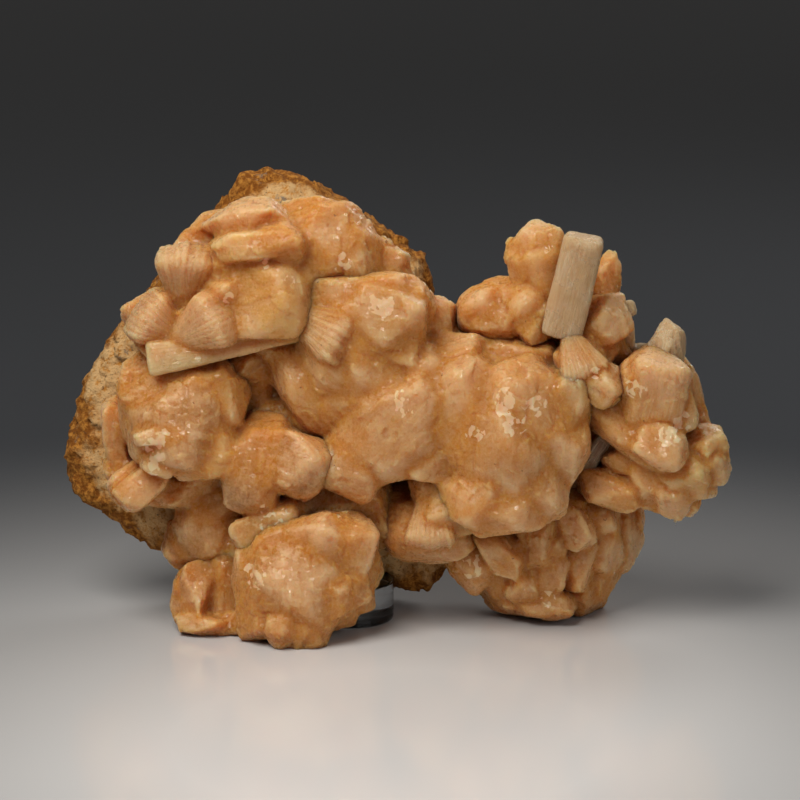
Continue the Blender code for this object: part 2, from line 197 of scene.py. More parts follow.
ROD_RADIUS = (rod_high - rod_low)[0] / 2
ROD_HEIGHT = rod_high[2]
ROD_EDGE = 0.5
ROD_COLUMNS = 128
ease = np.linspace(0, math.pi / 2, 7)
ease_out = ROD_EDGE * np.sin(ease)
ease_up = ROD_EDGE * (1 - np.cos(ease))
across = np.linspace(0.02, 1, 14)[:-1] * (ROD_RADIUS - ROD_EDGE)
rod_profile = [(r, ROD_HEIGHT) for r in across]
rod_profile += list(zip(ROD_RADIUS - ROD_EDGE + ease_out, ROD_HEIGHT - ease_up))
rod_profile += [(ROD_RADIUS, h) for h in np.linspace(ROD_HEIGHT - ROD_EDGE, ROD_EDGE, 9)[1:-1]]
rod_profile += list(zip((ROD_RADIUS - ROD_EDGE + ease_out)[::-1], ease_up[::-1]))
rod_profile += [(r, 0.0) for r in across[::-1]]
rod_rings = turned_grid(rod_profile, ROD_COLUMNS, ROD_PLACE)
rod_places = np.concatenate([[ROD_PLACE + (0, 0, ROD_HEIGHT)], rod_rings.reshape(-1, 3), [ROD_PLACE]])
rod = make_object("acrylic_rod", rod_places, *closed_faces(*rod_rings.shape[:2]))
clear = Finish("clear_acrylic", Base_Color=(0.95, 0.98, 1.0, 1), Roughness=0.04, IOR=1.49,
               Transmission_Weight=1.0)
scuffs = clear.noise(clear.place(), 900.0, detail=3.0)
clear.feed("Roughness", 0.03 + 0.12 * scuffs.between(0.55, 0.75))
clear.bump(clear.noise(clear.place(), 160.0, detail=2.0), 0.00004)
rod.data.materials.append(clear.material)
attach(rod, "root")
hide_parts("acrylic_rest")


# The plate of rock that the crystals grew on: weathered lava, cream and sandy where it was broken,
# with a rusty rind along its rim and over its back. It is a squarish pillow with lumps and grains.
PLATE_CENTRE = np.array([-16.0, 52.0])
PLATE_OUTLINE = np.array([
    (-83.5, 34), (-82, 46), (-79, 54), (-75, 63), (-72, 70), (-65, 78), (-58, 87), (-51, 95), (-45, 102),
    (-39, 110), (-33, 112.5), (-27, 111), (-19, 108), (-12, 103), (-4, 98), (4, 93), (8, 86), (12, 75),
    (20, 64), (34, 60), (44, 52), (49, 40), (48, 28), (42, 18), (30, 12), (20, 13), (13, 11), (9, 5.5),
    (3, 4), (-3, 7), (-16, 7), (-34, 5), (-44, 2), (-53, 8), (-60, 15), (-69, 22), (-76, 26), (-82, 30),
])
PLATE_HALF_DEPTH = 11.5
PLATE_FOOT_Y = 14.0
PLATE_LEAN = 0.09
PLATE_SQUARENESS = 3.0
PLATE_ROWS, PLATE_COLUMNS = 150, 600
TOE_PLACE = np.array([-45.0, 3.0, 5.0])
TOE_SIZE = np.array([10.0, 11.0, 6.0])
TOE_ROWS, TOE_COLUMNS = 80, 160
LUMP_HEIGHT, LUMP_SIZE = 1.5, 11.0
CHIP_HEIGHT, CHIP_SIZE = 0.9, 5.0
GRAIN_HEIGHT, GRAIN_SIZE = 0.55, 2.6
GAP_TO_SURFACE = 0.3
GAP_ROUND_ROD, GAP_OVER_ROD = 0.4, 0.2
RUST = (0.22, 0.07, 0.006)
OCHRE = (0.52, 0.22, 0.035)
CREAM = (0.68, 0.43, 0.19)
ASH = (0.27, 0.20, 0.14)
PIT_BROWN = (0.10, 0.05, 0.02)


def lattice(cells, seed):
    """A random number from -1 to 1 for each cell of a cubic lattice, the same each run."""
    x, y, z = (cells[..., i].astype(np.int64) for i in range(3))
    mixed = (x * 73856093 ^ y * 19349663 ^ z * 83492791 ^ seed * 2654435761) & 0xFFFFFFFF
    mixed = ((mixed ^ mixed >> 15) * 2246822519) & 0xFFFFFFFF
    mixed = ((mixed ^ mixed >> 13) * 3266489917) & 0xFFFFFFFF
    return (mixed ^ mixed >> 16) / 2147483647.5 - 1


def soft_noise(places, size, seed):
    """Random values on a lattice of that size, blended smoothly between its corners."""
    scaled = places / size
    cells = np.floor(scaled)
    part = scaled - cells
    part = part * part * (3 - 2 * part)
    total = 0
    for corner in np.ndindex(2, 2, 2):
        weight = np.prod(np.where(corner, part, 1 - part), axis=-1)
        total = total + weight * lattice(cells + corner, seed)
    return total


def rough(places, size, seed, octaves=4, keep=0.5):
    """Soft noise summed over octaves, each half the size and keep times the height of the last."""
    return sum(keep ** i * soft_noise(places, size / 2 ** i, seed + i) for i in range(octaves))


def chipped(places, size, seed):
    """Tilted flats: a point belongs to its nearest scattered seed and is raised by that seed's slope."""
    scaled = places / size
    cells = np.floor(scaled)
    nearest = np.full(places.shape[:-1], np.inf)
    height = np.zeros(places.shape[:-1])
    for step in np.ndindex(3, 3, 3):
        cell = cells + np.array(step) - 1
        seeds = np.stack([lattice(cell, seed + i) for i in range(3)], -1) * 0.5 + 0.5 + cell
        slope = np.stack([lattice(cell, seed + 3 + i) for i in range(3)], -1)
        apart = scaled - seeds
        distance = (apart ** 2).sum(-1)
        closer = distance < nearest
        nearest = np.where(closer, distance, nearest)
        height = np.where(closer, (apart * slope).sum(-1) + 0.5 * slope[..., 0], height)
    return height


def sphere_directions(rows, columns, axes, stretch):
    """Directions of a closed grid, poles first and last: cosine and sine of an angle down from the first
    axis and of one around it, times the stretch, made one long again and turned onto the axes."""
    down = np.linspace(0, math.pi, rows + 2)[1:-1, None]
    around = np.linspace(0, 2 * math.pi, columns, endpoint=False)[None]
    parts = [np.cos(down) * np.ones_like(around), np.sin(down) * np.cos(around),
             np.sin(down) * np.sin(around)]
    grid = np.stack(parts, -1).reshape(-1, 3)
    grid = np.concatenate([[(1, 0, 0)], grid, [(-1, 0, 0)]]) * stretch
    return (grid / np.linalg.norm(grid, axis=1, keepdims=True)) @ axes


def plate_places(directions):
    """The squarish pillow and its normals: a direction is stretched to the outline's reach and to the
    half depth, so that the powers of its two parts add up to one. It leans back as it rises."""
    flat = np.hypot(directions[:, 0], directions[:, 2])
    deep = np.abs(directions[:, 1])
    scale = (flat ** PLATE_SQUARENESS + deep ** PLATE_SQUARENESS) ** (-1 / PLATE_SQUARENESS)
    outline = PLATE_OUTLINE - PLATE_CENTRE
    angles = np.arctan2(outline[:, 1], outline[:, 0])
    reach = np.interp(np.arctan2(directions[:, 2], directions[:, 0]), angles,
                      np.hypot(outline[:, 0], outline[:, 1]), period=2 * math.pi)
    x = PLATE_CENTRE[0] + directions[:, 0] * scale * reach
    z = PLATE_CENTRE[1] + directions[:, 2] * scale * reach
    y = PLATE_FOOT_Y + PLATE_LEAN * z + directions[:, 1] * scale * PLATE_HALF_DEPTH
    rim = flat ** (PLATE_SQUARENESS - 2) / reach
    depth = deep ** (PLATE_SQUARENESS - 2) / PLATE_HALF_DEPTH
    normal = directions * np.stack([rim, depth, rim], -1)
    normal /= np.linalg.norm(normal, axis=1, keepdims=True)
    return np.stack([x, y, z], -1), normal


def weather(places, normal, seed):
    """Lumps, chips and grains of a weathered rock, along its normal."""
    height = LUMP_HEIGHT * rough(places, LUMP_SIZE, seed, octaves=3)
    height += CHIP_HEIGHT * chipped(places, CHIP_SIZE, seed + 10)
    height += GRAIN_HEIGHT * rough(places, GRAIN_SIZE, seed + 20, octaves=3, keep=0.6)
    return places + normal * height[:, None]


front_to_back = np.array([(0, -1, 0), (1, 0, 0), (0, 0, -1)])
plate_way = sphere_directions(PLATE_ROWS, PLATE_COLUMNS, front_to_back, (1.5, 1, 1))
plate_base, plate_normal = plate_places(plate_way)
plate_rough = weather(plate_base, plate_normal, 3)
over_rod = np.hypot(*(plate_rough - ROD_PLACE)[:, :2].T) < ROD_RADIUS + GAP_ROUND_ROD
lowest = np.where(over_rod, ROD_HEIGHT + GAP_OVER_ROD, GAP_TO_SURFACE)
plate_rough[:, 2] = np.maximum(plate_rough[:, 2], lowest)
rind = np.hypot(plate_way[:, 0], plate_way[:, 2]) ** 2
rind = np.where(plate_way[:, 1] > 0, 1.0, rind)
upright = np.array([(0, 0, 1), (1, 0, 0), (0, 1, 0)])
toe_way = sphere_directions(TOE_ROWS, TOE_COLUMNS, upright, (1, 1, 1))
toe_rough = weather(TOE_PLACE + toe_way * TOE_SIZE, toe_way, 5)
toe_rough[:, 2] = np.maximum(toe_rough[:, 2], GAP_TO_SURFACE)
plate_quads, plate_triangles = closed_faces(PLATE_ROWS, PLATE_COLUMNS)
toe_quads, toe_triangles = closed_faces(TOE_ROWS, TOE_COLUMNS)
plate = make_object("rock_plate", plate_rough, plate_quads, plate_triangles, [("rind", rind)])
toe = make_object("rock_toe", toe_rough, toe_quads, toe_triangles, [("rind", np.full(len(toe_way), 0.9))])

stone = Finish("weathered_rock", Roughness=0.92, Specular_IOR_Level=0.25)
where = stone.place()
patches = stone.noise(where, 70.0, detail=6.0, roughness=0.62)
grain = stone.noise(where, 620.0, detail=5.0, roughness=0.7)
height = stone.node("ShaderNodeSeparateXYZ", {}, {"Vector": where}, "Z")
height = height + 0.05 * stone.noise(where, 40.0, detail=3.0)
stained = 1 - height.between(0.065, 0.083) + height.between(0.087, 0.10)
crust = (stone.attribute("rind") + 1.3 * patches + 0.35 * stained - 0.85).between(0.72, 0.95)
pale = stone.mix(grain.between(0.34, 0.52), OCHRE, CREAM)
rusty = stone.mix(grain.between(0.42, 0.62), RUST, OCHRE)
mixed = stone.mix(crust, pale, rusty)
ashy = stone.noise(where, 110.0, detail=5.0, roughness=0.7).between(0.62, 0.7)
mixed = stone.mix(ashy, mixed, ASH)
pits = stone.noise(where, 1500.0, detail=3.0)
mixed = stone.mix(pits.between(0.6, 0.72) * 0.75, mixed, PIT_BROWN)
stone.feed("Base Color", mixed)
stone.bump(grain * 0.7 + pits * 0.3, 0.0012)
for piece in (plate, toe):
    piece.data.materials.append(stone.material)
    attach(piece, "root")
    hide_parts("matrix")


# The crystals, stilbite: translucent, waxy and pearly, peach to honey. Each is one of two kinds. A sheaf
# is a bundle of blades that run out from one root. A lobe is a rounded crystal with flat facets. Those
# of a group are melted into each other, as they grew, with a soft crease between them.
FACE = (0, -1, 0.25)
Sheaf = namedtuple(
    "Sheaf", "root tip width thick behind fan tilt grain uneven face corner colour fibre fade",
    defaults=(3, 0, 0, 5.0, 0.15, FACE, 0.2, None, 0.4, False))
Lobe = namedtuple(
    "Lobe", "middle along size colour box point facets fibre ease grain",
    defaults=(1.0, 0.0, 12, 0.15, 0.06, 2.6))
MILK = (0.71, 0.435, 0.215)
PEACH = (0.60, 0.285, 0.085)
HONEY = (0.63, 0.33, 0.085)
ROSE = (0.56, 0.29, 0.125)
BUTTER = (0.80, 0.52, 0.19)
TAN = (0.48, 0.215, 0.05)
# A darker copy of the tan: painted shade, for crystals that sit in the shadow of others.
SHADED_TAN = (0.27, 0.105, 0.022)
PALE = (0.66, 0.41, 0.20)
CLEAR = (0.76, 0.50, 0.26)
LAVENDER = (0.60, 0.38, 0.26)
# Amber is the crystals' own tone in clouds and blocks, and also painted shade: in seams, creases and
# crevices, and on crystals set deep behind others.
AMBER_AND_SHADE = (0.58, 0.225, 0.025)
# Painted shade in crevices, and the darkest of it in the deepest ones, which is also the colour of small
# dark specks.
CREVICE_SHADE = (0.44, 0.135, 0.008)
SPECK_AND_DEEP_SHADE = (0.16, 0.035, 0.003)
POWDER = (0.80, 0.53, 0.29)
# Painted highlight: the paler colour of cleavage splits where they catch the light.
PAINTED_GLINT_WHITE = (0.93, 0.70, 0.44)
TIP_BEVEL = 0.22
STEP = 0.48
MARGIN = 3.0
SMOOTH_TIMES, SOFT_TIMES, ROUND_TIMES = 2, 12, 40
BLOCK_SIZE = np.array([2.2, 1.0, 0.9])
SEAM_WIDTH = 1.8
BLOCK_STEP = 0.13
BLOCK_TILT = 0.36
TINT = np.array([0.12, 0.19, 0.30])
STAIN_SOFTNESS = 0.9
ALONG_FIBRE = 0.07
SWELL, FLAT, SMALL_FLAT, GRAININESS, THREAD = 0.16, 0.05, 0.04, 0.03, 0.13
AROUND_CELL = np.array([(0, 0), (1, 0), (1, 1), (0, 1)])


def unit(vector):
    vector = np.array(vector, float)
    return vector / np.linalg.norm(vector, axis=-1, keepdims=True)


def frame_of(group):
    """The long direction of a crystal, its side and its face, and its length."""
    lobe = isinstance(group, Lobe)
    line = group.along if lobe else np.subtract(group.tip, group.root)
    axis = unit(line)
    face = FACE if lobe else group.face
    hint = (0, 0, 1) if abs(axis @ unit(face)) > 0.95 else face
    side = unit(np.cross(hint, axis))
    length = 2 * group.size[0] if lobe else np.linalg.norm(line)
    return axis, side, np.cross(axis, side), length


def spread_of(group, length):
    """Half width and half thickness of a sheaf at its root and at its tip."""
    fan, tilt = math.radians(group.fan), math.radians(group.tilt)
    return (group.width / 2, group.thick / 2,
            length * math.sin(fan) + group.width / 2, length * math.sin(tilt) + group.thick / 2)


def reach_of(group):
    """The box that a crystal stands in: its middle and half its size, in millimetres."""
    axis, side, face, length = frame_of(group)
    if isinstance(group, Lobe):
        turned = np.abs(np.array([axis, side, face]).T @ np.diag(group.size))
        return np.array(group.middle, float), 1.1 * turned.sum(1)
    _, _, tip_a, tip_t = spread_of(group, length)
    ends = np.array([np.array(group.root) - axis * group.behind, group.tip])
    half = np.abs(np.diff(ends, axis=0)[0]) / 2 + np.abs(side) * tip_a + np.abs(face) * tip_t
    return ends.mean(0), half


def largest(parts, ease):
    """The largest of the last axis's distances, with a rounded corner between any two of them."""
    top = parts.max(-1)
    return top + ease * np.log(np.exp((parts - top[..., None]) / ease).sum(-1))


def spiral_ways(count, chance):
    """Directions spread over a sphere as a sunflower's seeds are, each moved a little."""
    order = np.arange(count) + 0.5
    height = 1 - 2 * order / count
    turn = order * math.pi * (3 - math.sqrt(5))
    flat = np.sqrt(1 - height ** 2)
    return unit(np.stack([height, flat * np.cos(turn), flat * np.sin(turn)], 1)
                + chance.uniform(-1, 1, (count, 3)) * 0.8 / math.sqrt(count))


def lobe_planes(group, chance):
    """The facet planes of a crystal as directions and distances, for a ball that is then stretched to
    the lobe's size. A block has six planes nearer than the rest, and a pointed one six about its tip."""
    planes = spiral_ways(group.facets, chance)
    away = (1.02 - 0.9 / group.facets) * (1.1 if group.box < 1 else 1)
    away = away + chance.uniform(-0.07, 0.07, group.facets)
    if group.box < 1:
        planes = np.concatenate([planes, np.eye(3), -np.eye(3)])
        sides = np.array([0.95, group.box, group.box] * 2) * 1.06
        away = np.concatenate([away, sides * chance.uniform(0.96, 1.04, 6)])
    if group.point:
        turn = np.arange(6) * math.pi / 3
        planes = np.concatenate([planes, unit(np.stack([0 * turn + 1, np.cos(turn), np.sin(turn)], 1))])
        away = np.concatenate([away, np.full(6, 0.9 - 0.25 * group.point)])
    return planes, away


def lobe_distance(group, planes, away, places):
    """How far places are outside the nearest of a lobe's planes, with eased edges."""
    axis, side, face, _ = frame_of(group)
    slopes = planes / group.size
    steep = np.linalg.norm(slopes, axis=1)
    ways = (slopes / steep[:, None]) @ np.array([axis, side, face])
    local = (places - group.middle).astype(np.float32)
    return largest(local @ ways.T.astype(np.float32) - (away / steep).astype(np.float32),
                   group.ease * min(group.size))


def blade_of(group, u, tip_a):
    """Which blade of a sheaf a place is on, for its share u of the half width, and how far it stands up
    there: most in the middle of the blade, and nothing in the grooves beside it."""
    blades = max(1, round(2 * tip_a / group.grain))
    blade = (u.clip(-1, 1) + 1) / 2.001 * blades
    ridge = 1 - np.abs(2 * (blade % 1) - 1) ** 3 if blades > 1 else 0 * u
    return np.stack([np.floor(blade), 0 * u, 0 * u], -1), ridge


def sheaf_distance(group, seed, places):
    """How far places are outside a bundle of blades. It widens from root to tip, and each blade ends on
    an arc about the root, cut off at the corners, a little short of its neighbours."""
    axis, side, face, length = frame_of(group)
    apart = places - group.root
    ahead, across, through = apart @ axis, apart @ side, apart @ face
    root_a, root_t, tip_a, tip_t = spread_of(group, length)
    part = (ahead / length).clip(0, 1.1)
    half_a, half_t = root_a + (tip_a - root_a) * part, root_t + (tip_t - root_t) * part
    u, v = across / half_a, through / half_t
    cell, _ = blade_of(group, u, tip_a)
    out_a = np.maximum(np.abs(u) * tip_a - (tip_a - group.corner * group.width), 0)
    out_t = np.maximum(np.abs(v) * tip_t - (tip_t - TIP_BEVEL * group.thick), 0)
    reach = np.hypot(np.hypot(ahead, across), through) if group.fan else ahead
    cut = length * (1 - 0.5 * group.uneven * (1 + lattice(cell, seed))) - 0.8 * (out_a + out_t)
    rounded = np.sqrt(1 - 0.65 * np.minimum(np.abs(u), 1) ** 2.5)
    return largest(np.stack([(np.abs(u) - 1) * half_a, reach - cut, -group.behind - ahead,
                             (np.abs(v) - rounded) * half_t], -1), 0.3)


def blocks_of(group, local, seed):
    """The small blocks that a crystal is built of: cells of a lattice along its own axes, a little
    warped. Gives a random number for each, and its height: that number plus its own random slope."""
    warp = np.stack([soft_noise(local, 5.0, seed + i) for i in range(3)], -1)
    scaled = local / (group.grain * BLOCK_SIZE) + 0.45 * warp
    cell = np.floor(scaled)
    slope = np.stack([lattice(cell, seed + 3 + i) for i in range(3)], -1)
    number = lattice(cell, seed + 6)
    return number, BLOCK_STEP * number + BLOCK_TILT * ((scaled - cell - 0.5) * slope).sum(-1)


def crystal_view(group, places, seed):
    """For places on a crystal: where they are across, through and along its fibres, with the part of its
    length that lies behind them, how clear its fibres are, how far its blades or blocks stand up there,
    and the random number of the block."""
    axis, side, face, length = frame_of(group)
    apart = places - (group.middle if isinstance(group, Lobe) else group.root)
    ahead, across, through = apart @ axis, apart @ side, apart @ face
    if isinstance(group, Lobe):
        number, height = blocks_of(group, np.stack([ahead, across, through], -1), seed)
        return across, through, ahead, np.abs(ahead) / group.size[0], group.fibre + 0 * ahead, height, number
    root_a, root_t, tip_a, tip_t = spread_of(group, length)
    part = (ahead / length).clip(0, 1.1)
    u = across / (root_a + (tip_a - root_a) * part)
    cell, ridge = blade_of(group, u, tip_a)
    rise = (1.3 - 2 * part).clip(0, 1) if group.fade else (part * 1.6).clip(0.25, 1)
    rib = (0.26 * ridge + 0.2 * lattice(cell, 5)) * rise * (group.grain / 1.8) ** 0.5
    fibre = group.fibre * ((1.5 - 2 * part).clip(0, 1) if group.fade else 1 + 0 * part)
    across, through = u * tip_a, through / (root_t + (tip_t - root_t) * part) * tip_t
    return across, through, ahead, part, fibre, rib, lattice(cell, 6)


def skin_of(field, corner):
    """Points and quads of the surface where numbers on a grid pass zero. Each cell that it crosses has a
    point, at the mean of the crossings on its edges, and each crossed edge has a quad about it."""
    inside = field < 0
    cells = tuple(n - 1 for n in field.shape)
    count = sum(inside[tuple(slice(s, s + n) for s, n in zip(step, cells))].astype(int)
                for step in np.ndindex(2, 2, 2))
    crossed = np.argwhere((count > 0) & (count < 8))
    number = np.full(cells, -1)
    number[tuple(crossed.T)] = np.arange(len(crossed))
    total, hits = np.zeros((len(crossed), 3)), np.zeros(len(crossed))
    quads = []
    for way in range(3):
        one, two = (way + 1) % 3, (way + 2) % 3
        for i, j in AROUND_CELL:
            near = np.zeros(3, int)
            near[one], near[two] = i, j
            far = near + np.eye(3, dtype=int)[way]
            low, high = field[tuple((crossed + near).T)], field[tuple((crossed + far).T)]
            hit = (low < 0) != (high < 0)
            share = np.where(hit, low / np.where(hit, low - high, 1), 0)
            total += (near + np.outer(share, far - near)) * hit[:, None]
            hits += hit
        ahead = [slice(None)] * 3
        behind = [slice(None)] * 3
        ahead[way], behind[way] = slice(1, None), slice(None, -1)
        edges = np.argwhere(inside[tuple(ahead)] != inside[tuple(behind)])
        around = [edges.copy() for _ in range(4)]
        for cell, (i, j) in zip(around, AROUND_CELL):
            cell[:, one] -= 1 - i
            cell[:, two] -= 1 - j
        quad = np.stack([number[tuple(cell.T)] for cell in around], 1)
        leaving = inside[tuple(edges.T)]
        quads.append(np.where(leaving[:, None], quad, quad[:, ::-1]))
    return corner + (crossed + total / hits[:, None]) * STEP, np.concatenate(quads)


def neighbour_mean(values, edges, times):
    """Each point's values moved to the mean of its own and its neighbours', so many times over."""
    count = np.bincount(edges.ravel(), minlength=len(values))[:, None] + 1.0
    for _ in range(times):
        total = values.copy()
        for near, far in (edges.T, edges.T[::-1]):
            for i in range(values.shape[1]):
                total[:, i] += np.bincount(near, values[far, i], len(values))
        values = total / count
    return values


def point_normals(places, quads):
    """Normals of the points of a quad mesh: the sum of its faces' crossed diagonals."""
    face = np.cross(places[quads[:, 2]] - places[quads[:, 0]], places[quads[:, 3]] - places[quads[:, 1]])
    total = np.stack([sum(np.bincount(quads[:, k], face[:, i], len(places)) for k in range(4))
                      for i in range(3)], 1)
    return total / np.maximum(np.linalg.norm(total, axis=1, keepdims=True), 1e-9)


def grow(name, groups, seed, melt, gleams, finish):
    """One piece of that finish. On a grid, each crystal's distances are blended by the log of a sum of
    powers, and the skin is laid where they pass zero. Each point learns which crystal it is on and how
    near it is to the join with the next one, where the finish paints shade. Fibres, blocks, small flats and
    swells are raised, hollows and edges are marked for painted shade and painted light, and the gleams are
    places, with a radius, where cleavage splits catch the light and the finish paints them paler as
    highlights."""
    chance = np.random.default_rng(seed)
    measures = []
    for i, group in enumerate(groups):
        if isinstance(group, Lobe):
            measures.append(partial(lobe_distance, group, *lobe_planes(group, chance)))
        else:
            measures.append(partial(sheaf_distance, group, seed + 10 * i))
    boxes = np.array([(middle - half - MARGIN, middle + half + MARGIN)
                      for middle, half in map(reach_of, groups)])
    corner = boxes[:, 0].min(0)
    shape = np.ceil((boxes[:, 1].max(0) - corner) / STEP).astype(int) + 1
    mass = np.zeros(shape)
    for measure, (low, high) in zip(measures, boxes):
        first = np.floor((low - corner) / STEP).astype(int)
        last = np.ceil((high - corner) / STEP).astype(int) + 1
        ticks = np.meshgrid(*(np.arange(a, min(b, n)) for a, b, n in zip(first, last, shape)), indexing="ij")
        places = corner + np.stack(ticks, -1) * STEP
        share = np.exp(-measure(places).clip(-20, 20) / melt) - math.exp(-MARGIN / melt)
        mass[tuple(ticks)] += share.clip(0)
    field = -melt * np.log(mass + 1e-20)
    places, quads = skin_of(field, corner)
    sides = np.concatenate([quads[:, (i, (i + 1) % 4)] for i in range(4)])
    edges = np.unique(np.sort(sides, axis=1), axis=0)
    places = neighbour_mean(places, edges, SMOOTH_TIMES)
    softer = neighbour_mean(places, edges, SOFT_TIMES)
    rounder = neighbour_mean(softer, edges, ROUND_TIMES)
    normal = point_normals(softer, quads)
    hollow = ((softer - places) * normal).sum(1) * 4 + ((rounder - places) * normal).sum(1)
    outs = np.stack([measure(places) for measure in measures])
    nearest = outs.argmin(0)
    two = np.partition(outs, 1, axis=0)[:2]
    # How near each point is to the join with the next crystal, which the finish paints as shade.
    seam_shade = np.exp((two[0] - two[1]) / SEAM_WIDTH)
    data = np.zeros((len(places), 7))
    for i, group in enumerate(groups):
        on = nearest == i
        data[on] = np.stack(crystal_view(group, places[on], seed + 10 * i), 1)
    data[:, 2] *= ALONG_FIBRE
    # Each crystal's listed colour, blended near the joins. Some listed colours are painted shade.
    share = np.exp(-outs.clip(-5, 20) / STAIN_SOFTNESS)
    tints = 1 + chance.uniform(-1, 1, (len(groups), 1)) * TINT
    colours = np.array([group.colour for group in groups]) * tints
    tone_and_shade = share.T @ colours / share.sum(0)[:, None]
    streak = soft_noise(data[:, :3] / 0.9, 1.0, seed) + 0.7 * soft_noise(data[:, :3] / 0.45, 1.0, seed + 1)
    relief = SWELL * rough(places, 7.0, seed + 2, octaves=2) + FLAT * chipped(places, 5.0, seed + 60)
    relief += SMALL_FLAT * chipped(places, 2.4, seed + 7)
    relief += GRAININESS * rough(places, 1.3, seed + 20, octaves=2)
    relief += THREAD * data[:, 4] * streak * (1 - data[:, 3] ** 6) + data[:, 5]
    places = places + point_normals(places, quads) * relief[:, None]
    places[:, 2] = np.maximum(places[:, 2], 0)
    gleam = sum(np.exp(-((places - [x, 0, z])[:, ::2] ** 2).sum(1) / r ** 2) for x, z, r in gleams)
    piece = make_object(name, places, quads, np.zeros((0, 3), int),
                        [("ray", data[:, :3]), ("seam_shade", seam_shade), ("fibre", data[:, 4]),
                         ("tone_and_shade", tone_and_shade), ("hollow", hollow), ("gleam", gleam), ("block", data[:, 6])])
    piece.data.materials.append(finish.material)
    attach(piece, "root")
    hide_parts("stilbite_crystals")


stilbite = Finish("peach_stilbite", IOR=1.5, Specular_IOR_Level=0.38, Subsurface_Weight=1.0,
                  Subsurface_Scale=0.010, Subsurface_Radius=(1.0, 0.6, 0.34), Sheen_Weight=0.1,
                  Sheen_Roughness=0.45, Sheen_Tint=(1.0, 0.84, 0.68, 1))
where = stilbite.place()
cloud = stilbite.noise(where, 80.0, detail=2.0, roughness=0.5)
depth = stilbite.noise(where, 60.0, detail=2.0, roughness=0.5)
mottle = stilbite.noise(where, 420.0, detail=4.0, roughness=0.65)
fine = stilbite.noise(where, 1500.0, detail=3.0, roughness=0.65)
ray = stilbite.attribute("ray", "Vector")
threads = stilbite.noise(ray, 1.6, detail=3.0, roughness=0.6)
fibre, hollow, gleam, seam_shade, block = map(stilbite.attribute, ("fibre", "hollow", "gleam", "seam_shade", "block"))
# How covered each point is by the crystals near it, which the finish paints as shade in crevices.
CREVICE_REACH = 0.013
covered = 1 - stilbite.node("ShaderNodeAmbientOcclusion", {"samples": 3}, {"Distance": CREVICE_REACH}, "AO")


def mosaic(finish, vector, scale):
    """Flat cells, each tilted its own way: a random number for each, and the height over its middle
    along its random slope."""
    cells = {"feature": "F1", "distance": "MANHATTAN"}
    values = {"Vector": vector, "Scale": scale}
    slope = finish.node("ShaderNodeTexVoronoi", cells, values, "Color")
    middle = finish.node("ShaderNodeTexVoronoi", cells, values, "Position")
    number = finish.node("ShaderNodeSeparateColor", {}, {"Color": slope}, "Red")
    slope = finish.node("ShaderNodeVectorMath", {"operation": "SUBTRACT"}, {0: slope, 1: (0.5, 0.5, 0.5)})
    apart = finish.node("ShaderNodeVectorMath", {"operation": "SUBTRACT"}, {0: vector, 1: middle})
    height = finish.node("ShaderNodeVectorMath", {"operation": "DOT_PRODUCT"}, {0: apart, 1: slope}, "Value")
    return number, height * scale


number, flats = mosaic(stilbite, where, 1100.0)
flake, flake_flats = mosaic(stilbite, where, 600.0)
# Cleavage splits at the gleams and in some flake cells: glossier and tilted, and painted paler as
# highlights.
split_and_painted_glint = (gleam * 0.7 + flake * 0.7).between(0.98, 1.02)
glint = (number + mottle * 0.7).between(0.98, 1.04)
# Convex edges are painted paler, as light shining through thin rims, and hollows amber, as painted shade.
painted_edge_light = (0 - hollow).between(0.5, 2.0)
crease_shade = hollow.between(-0.3, 0.7)
# The milky frost of clouds, mottles, fibres and blocks, with painted edge light added and painted shade at
# seams taken off.
frost_and_edge_light = (cloud.between(0.32, 0.72) * 0.8 + mottle.between(0.4, 0.75) * 0.35 + painted_edge_light * 0.35
         + threads.between(0.48, 0.66) * fibre * 0.8 + block.between(0.2, 1) * 0.25
         - seam_shade.between(0.2, 0.9) * 0.7)
specks = stilbite.noise(where, 520.0, detail=2.0).between(0.75, 0.78)
# The crystals' own tones, then painted shade in seams, creases and crevices, small dark specks, and painted
# highlights on the splits.
body = stilbite.attribute("tone_and_shade", "Vector")
for share, colour in [
        (depth.between(0.35, 0.7) * 0.65, AMBER_AND_SHADE),
        (block.between(-0.2, -1) * 0.3, AMBER_AND_SHADE),
        (frost_and_edge_light.between(0, 1.1), MILK),
        (seam_shade.between(0.3, 0.9) * 0.75, AMBER_AND_SHADE),
        (crease_shade * 0.6, AMBER_AND_SHADE),
        (covered.between(0.08, 0.45) * 0.85, AMBER_AND_SHADE),
        (covered.between(0.38, 0.75) * 0.9, CREVICE_SHADE),
        (covered.between(0.88, 1.0) * 0.6, SPECK_AND_DEEP_SHADE),
        (fine.between(0.35, 0.7) * 0.24, POWDER),
        (specks * 0.7, SPECK_AND_DEEP_SHADE),
        (split_and_painted_glint * 0.7, PAINTED_GLINT_WHITE),
]:
    body = stilbite.mix(share, body, colour)
stilbite.feed("Base Color", body)
stilbite.feed("Roughness", 0.55 - 0.12 * mottle.between(0.45, 0.65) - 0.30 * glint - 0.3 * split_and_painted_glint
              - 0.12 * block.between(0, 0.8))
stilbite.bump(flats * (0.17 + 0.5 * glint) + flake_flats * split_and_painted_glint * 0.4 + fine * 0.11
              + threads * fibre * 0.6, 0.001)


